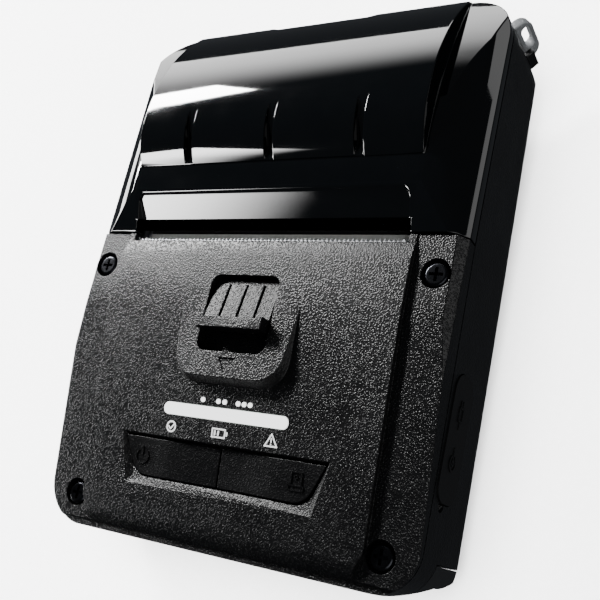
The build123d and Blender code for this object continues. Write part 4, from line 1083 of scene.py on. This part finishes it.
@dataclass
class TearEdge:
    """Rows of cut points along the tear bar.

    Attributes:
        pitch: distance from one point to the next in millimetres.
        width: width of one point in millimetres.
        rise: height of one point in millimetres.
        rows: distance of each row from the bar's rear edge in millimetres.
    """

    pitch: float = 1.2
    width: float = 0.5
    rise: float = 0.32
    rows: tuple[float, float] = (0.35, 0.95)

    def point(self) -> bpy.types.Object:
        """Models one eight-sided cut point with a blunt tip, on XY.

        Returns:
            The point.
        """
        deselect()
        bpy.ops.mesh.primitive_cone_add(
            vertices=8, radius1=self.width * MM / 2, radius2=self.width * MM / 5, depth=self.rise * MM
        )
        piece = bpy.context.active_object
        bpy.ops.object.mode_set(mode="EDIT")
        pick(piece, lambda co: co.z > self.rise * MM * 0.4, "FACE")
        bpy.ops.mesh.inset(thickness=self.width * MM * 0.05)
        bpy.ops.transform.translate(value=(0, 0, self.rise * MM * 0.15))
        bpy.ops.object.mode_set(mode="OBJECT")
        return piece

    def build(self) -> None:
        """Makes both rows and hands them over."""
        low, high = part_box("tear_bar")
        count = int((high.x - low.x) / (self.pitch * MM)) - 1
        rows = []
        for index, inset in enumerate(self.rows):
            piece = self.point()
            line = piece.modifiers.new("row", "ARRAY")
            line.count = count
            line.use_relative_offset = False
            line.use_constant_offset = True
            line.constant_offset_displace = (self.pitch * MM, 0, 0)
            bpy.ops.object.modifier_apply(modifier=line.name)
            shift = (0.5 if index == 0 else 1.0) * self.pitch * MM
            piece.location = (low.x + shift, high.y - inset * MM, high.z + self.rise * MM * 0.3)
            settle(piece)
            rows.append(piece)
        hand_over(join(rows, "tear_points"), "case", TEAR_STEEL)


@dataclass
class BoardFittings:
    """Round capacitors on the main board.

    Attributes:
        cans: x, y and radius of each capacitor, from the board's middle, in millimetres.
        can_height: height of a capacitor in millimetres.
    """

    cans: tuple[tuple[float, float, float], ...] = (
        (-26.0, -8.0, 1.6),
        (-22.0, -8.0, 1.6),
        (14.0, -10.0, 2.0),
    )
    can_height: float = 3.0

    def can(self, x: float, y: float, z: float, radius: float) -> bpy.types.Object:
        """Models one capacitor with a rolled groove above its base.

        Args:
            x: middle across, in metres.
            y: middle along, in metres.
            z: top of the board, in metres.
            radius: radius in millimetres.

        Returns:
            The capacitor.
        """
        deselect()
        height = self.can_height * MM
        bpy.ops.mesh.primitive_cylinder_add(vertices=24, radius=radius * MM, depth=height, location=(0, 0, 0))
        piece = bpy.context.active_object
        bpy.ops.object.mode_set(mode="EDIT")
        pick(piece, lambda co: co.z > height * 0.49, "FACE")
        bpy.ops.mesh.inset(thickness=radius * MM * 0.12)
        bpy.ops.transform.translate(value=(0, 0, -0.12 * MM))
        bpy.ops.mesh.select_all(action="SELECT")
        bpy.ops.mesh.bisect(plane_co=(0, 0, -height * 0.22), plane_no=(0, 0, 1))
        bpy.ops.transform.resize(value=(0.9, 0.9, 1.0))
        bpy.ops.object.mode_set(mode="OBJECT")
        bpy.ops.object.shade_smooth_by_angle(angle=math.radians(40))
        piece.location = (x, y, z + height / 2)
        settle(piece)
        return piece

    def build(self) -> None:
        """Makes the capacitors and hands them over."""
        low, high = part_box("main_board")
        middle = (low + high) / 2
        cans = [self.can(middle.x + x * MM, middle.y + y * MM, high.z, r) for x, y, r in self.cans]
        hand_over(join(cans, "board_capacitors"), "case", ALUMINIUM)


# ---------------------------------------------------------------- studio
class Fade(Enum):
    """Side of a soft light that its fabric dims towards."""

    NONE = ""
    RIGHT = "X"
    TOP = "Y"


@dataclass(frozen=True)
class SoftBox:
    """One soft studio light, turned to the printer.

    Attributes:
        name: name of the light.
        way: direction from the printer to the light.
        distance: distance in metres.
        size: width and height in metres.
        power: power in watts.
        only: name of the one object that it lights, empty for all.
        fade: side that it dims towards.
    """

    name: str
    way: tuple[float, float, float]
    distance: float
    size: tuple[float, float]
    power: float
    only: str = ""
    fade: Fade = Fade.NONE

    def dim(self, lamp: bpy.types.AreaLight) -> None:
        """Makes the light's face dimmer towards one side.

        Args:
            lamp: area light.
        """
        lamp.use_nodes = True
        tree = lamp.node_tree
        tree.nodes.clear()
        face = add_node(tree, "ShaderNodeNewGeometry").outputs["Parametric"]
        across = add_node(tree, "ShaderNodeSeparateXYZ", {}, {0: face})
        bright = add_node(
            tree,
            "ShaderNodeMapRange",
            {"From Min": FADE_DARK, "From Max": FADE_FULL, "To Min": 0.0, "To Max": FADE_GAIN},
            {"Value": across.outputs[self.fade.value]},
            interpolation_type="SMOOTHSTEP",
        )
        glow = add_node(tree, "ShaderNodeEmission", {}, {"Strength": bright.outputs["Result"]})
        add_node(tree, "ShaderNodeOutputLight", {}, {"Surface": glow.outputs["Emission"]})

    def build(self, target: Vector) -> None:
        """Makes the light and turns it to the target.

        Args:
            target: middle of the printer.
        """
        lamp = bpy.data.lights.new(self.name, "AREA")
        lamp.shape = "RECTANGLE"
        lamp.size, lamp.size_y = self.size
        lamp.energy = self.power
        if self.fade is not Fade.NONE:
            self.dim(lamp)
        holder = bpy.data.objects.new(self.name, lamp)
        bpy.context.scene.collection.objects.link(holder)
        holder.location = target + Vector(self.way).normalized() * self.distance
        holder.rotation_euler = (target - holder.location).to_track_quat("-Z", "Y").to_euler()
        if self.only:
            lit = bpy.data.collections.new(self.name)
            lit.objects.link(bpy.data.objects[self.only])
            holder.light_linking.receiver_collection = lit
        log.info("light %s", self.name)


@dataclass
class Studio:
    """Pale floor, soft lights and the camera.

    Attributes:
        eye: place of the camera in metres.
        turn: its rotation in degrees.
        lens: focal length in millimetres on a 36 mm sensor.
        shift: upward shift of the frame.
        floor: side of the floor in metres.
        dim: strength of the surround in the gloss and on the surfaces.
        boxes: the soft lights.
    """

    eye: tuple[float, float, float] = (0.12068, -0.06914, 0.20781)
    turn: tuple[float, float, float] = (22.292, 27.721, 13.888)
    lens: float = 51.0
    shift: float = 0.025
    floor: float = 6.0
    dim: float = 0.12
    boxes: tuple[SoftBox, ...] = (
        SoftBox("floor_bank", (0.10, -0.10, 1.0), 1.6, (1.6, 1.6), 190.0, only="studio_floor"),
        SoftBox("front_right_bank", (0.62, -0.50, 0.60), 1.5, (1.4, 1.0), 9.0),
        SoftBox("rear_left_window", (-0.50, 0.82, 0.34), 0.9, (1.1, 0.46), 8.0, fade=Fade.TOP),
        SoftBox("left_rear_strip", (-0.68, 0.54, 0.50), 0.9, (0.34, 0.10), 20.0),
        SoftBox(
            "left_front_box", (-0.66, -0.44, 0.62), 0.8, (0.24, 0.30), 8.0,
            only="cover_shell", fade=Fade.RIGHT,
        ),
        SoftBox("right_low_strip", (1.0, 0.20, 0.10), 1.2, (1.6, 0.5), 5.0),
        SoftBox("left_low_strip", (-1.0, 0.10, 0.06), 0.8, (0.9, 0.16), 7.0),
    )

    def camera(self) -> None:
        """Makes the camera and sets it as the scene's."""
        data = bpy.data.cameras.new("camera")
        data.lens, data.sensor_width, data.shift_y = self.lens, 36.0, self.shift
        data.clip_start, data.clip_end = 0.01, 20.0
        holder = bpy.data.objects.new("camera", data)
        bpy.context.scene.collection.objects.link(holder)
        holder.location = self.eye
        holder.rotation_euler = [math.radians(a) for a in self.turn]
        bpy.context.scene.camera = holder

    def ground(self) -> None:
        """Makes the plain pale floor, which is kept out of the gloss."""
        deselect()
        bpy.ops.mesh.primitive_plane_add(size=self.floor, location=(0, 0, CAD_BOX[0].z))
        floor = bpy.context.active_object
        floor.name = "studio_floor"
        settle(floor)
        floor.data.materials.append(PAPER.material())
        floor.visible_glossy = False
        floor.visible_diffuse = False

    def sky(self) -> None:
        """Sets a surround that is dim in the gloss and pale behind the floor."""
        world = bpy.data.worlds.new("surround")
        world.use_nodes = True
        tree = world.node_tree
        seen = add_node(tree, "ShaderNodeLightPath").outputs["Is Camera Ray"]
        strength = add_node(tree, "ShaderNodeMapRange", {"To Min": self.dim, "To Max": 1.0}, {"Value": seen})
        background = tree.nodes["Background"]
        background.inputs["Color"].default_value = linear("#c4cad2")
        tree.links.new(strength.outputs["Result"], background.inputs["Strength"])
        bpy.context.scene.world = world

    def build(self) -> None:
        """Makes the camera, the floor and the surround."""
        self.camera()
        self.ground()
        self.sky()

    def light(self) -> None:
        """Makes the lights, once the pieces that some of them light are there."""
        target = (CAD_BOX[0] + CAD_BOX[1]) / 2
        for box in self.boxes:
            box.build(target)


def main() -> None:
    """Builds the studio, dresses the nodes and makes each sub-assembly's pieces."""
    studio = Studio()
    studio.build()
    dress_nodes()
    assemblies = (RollCover(), Housing(), FaceMarks(), Keys(), DoorMarks(), TearEdge(), BoardFittings())
    for assembly in assemblies:
        assembly.build()
        log.info("%s is done", type(assembly).__name__)
    studio.light()
    bpy.context.view_layer.update()


if __name__ == "__main__":
    main()
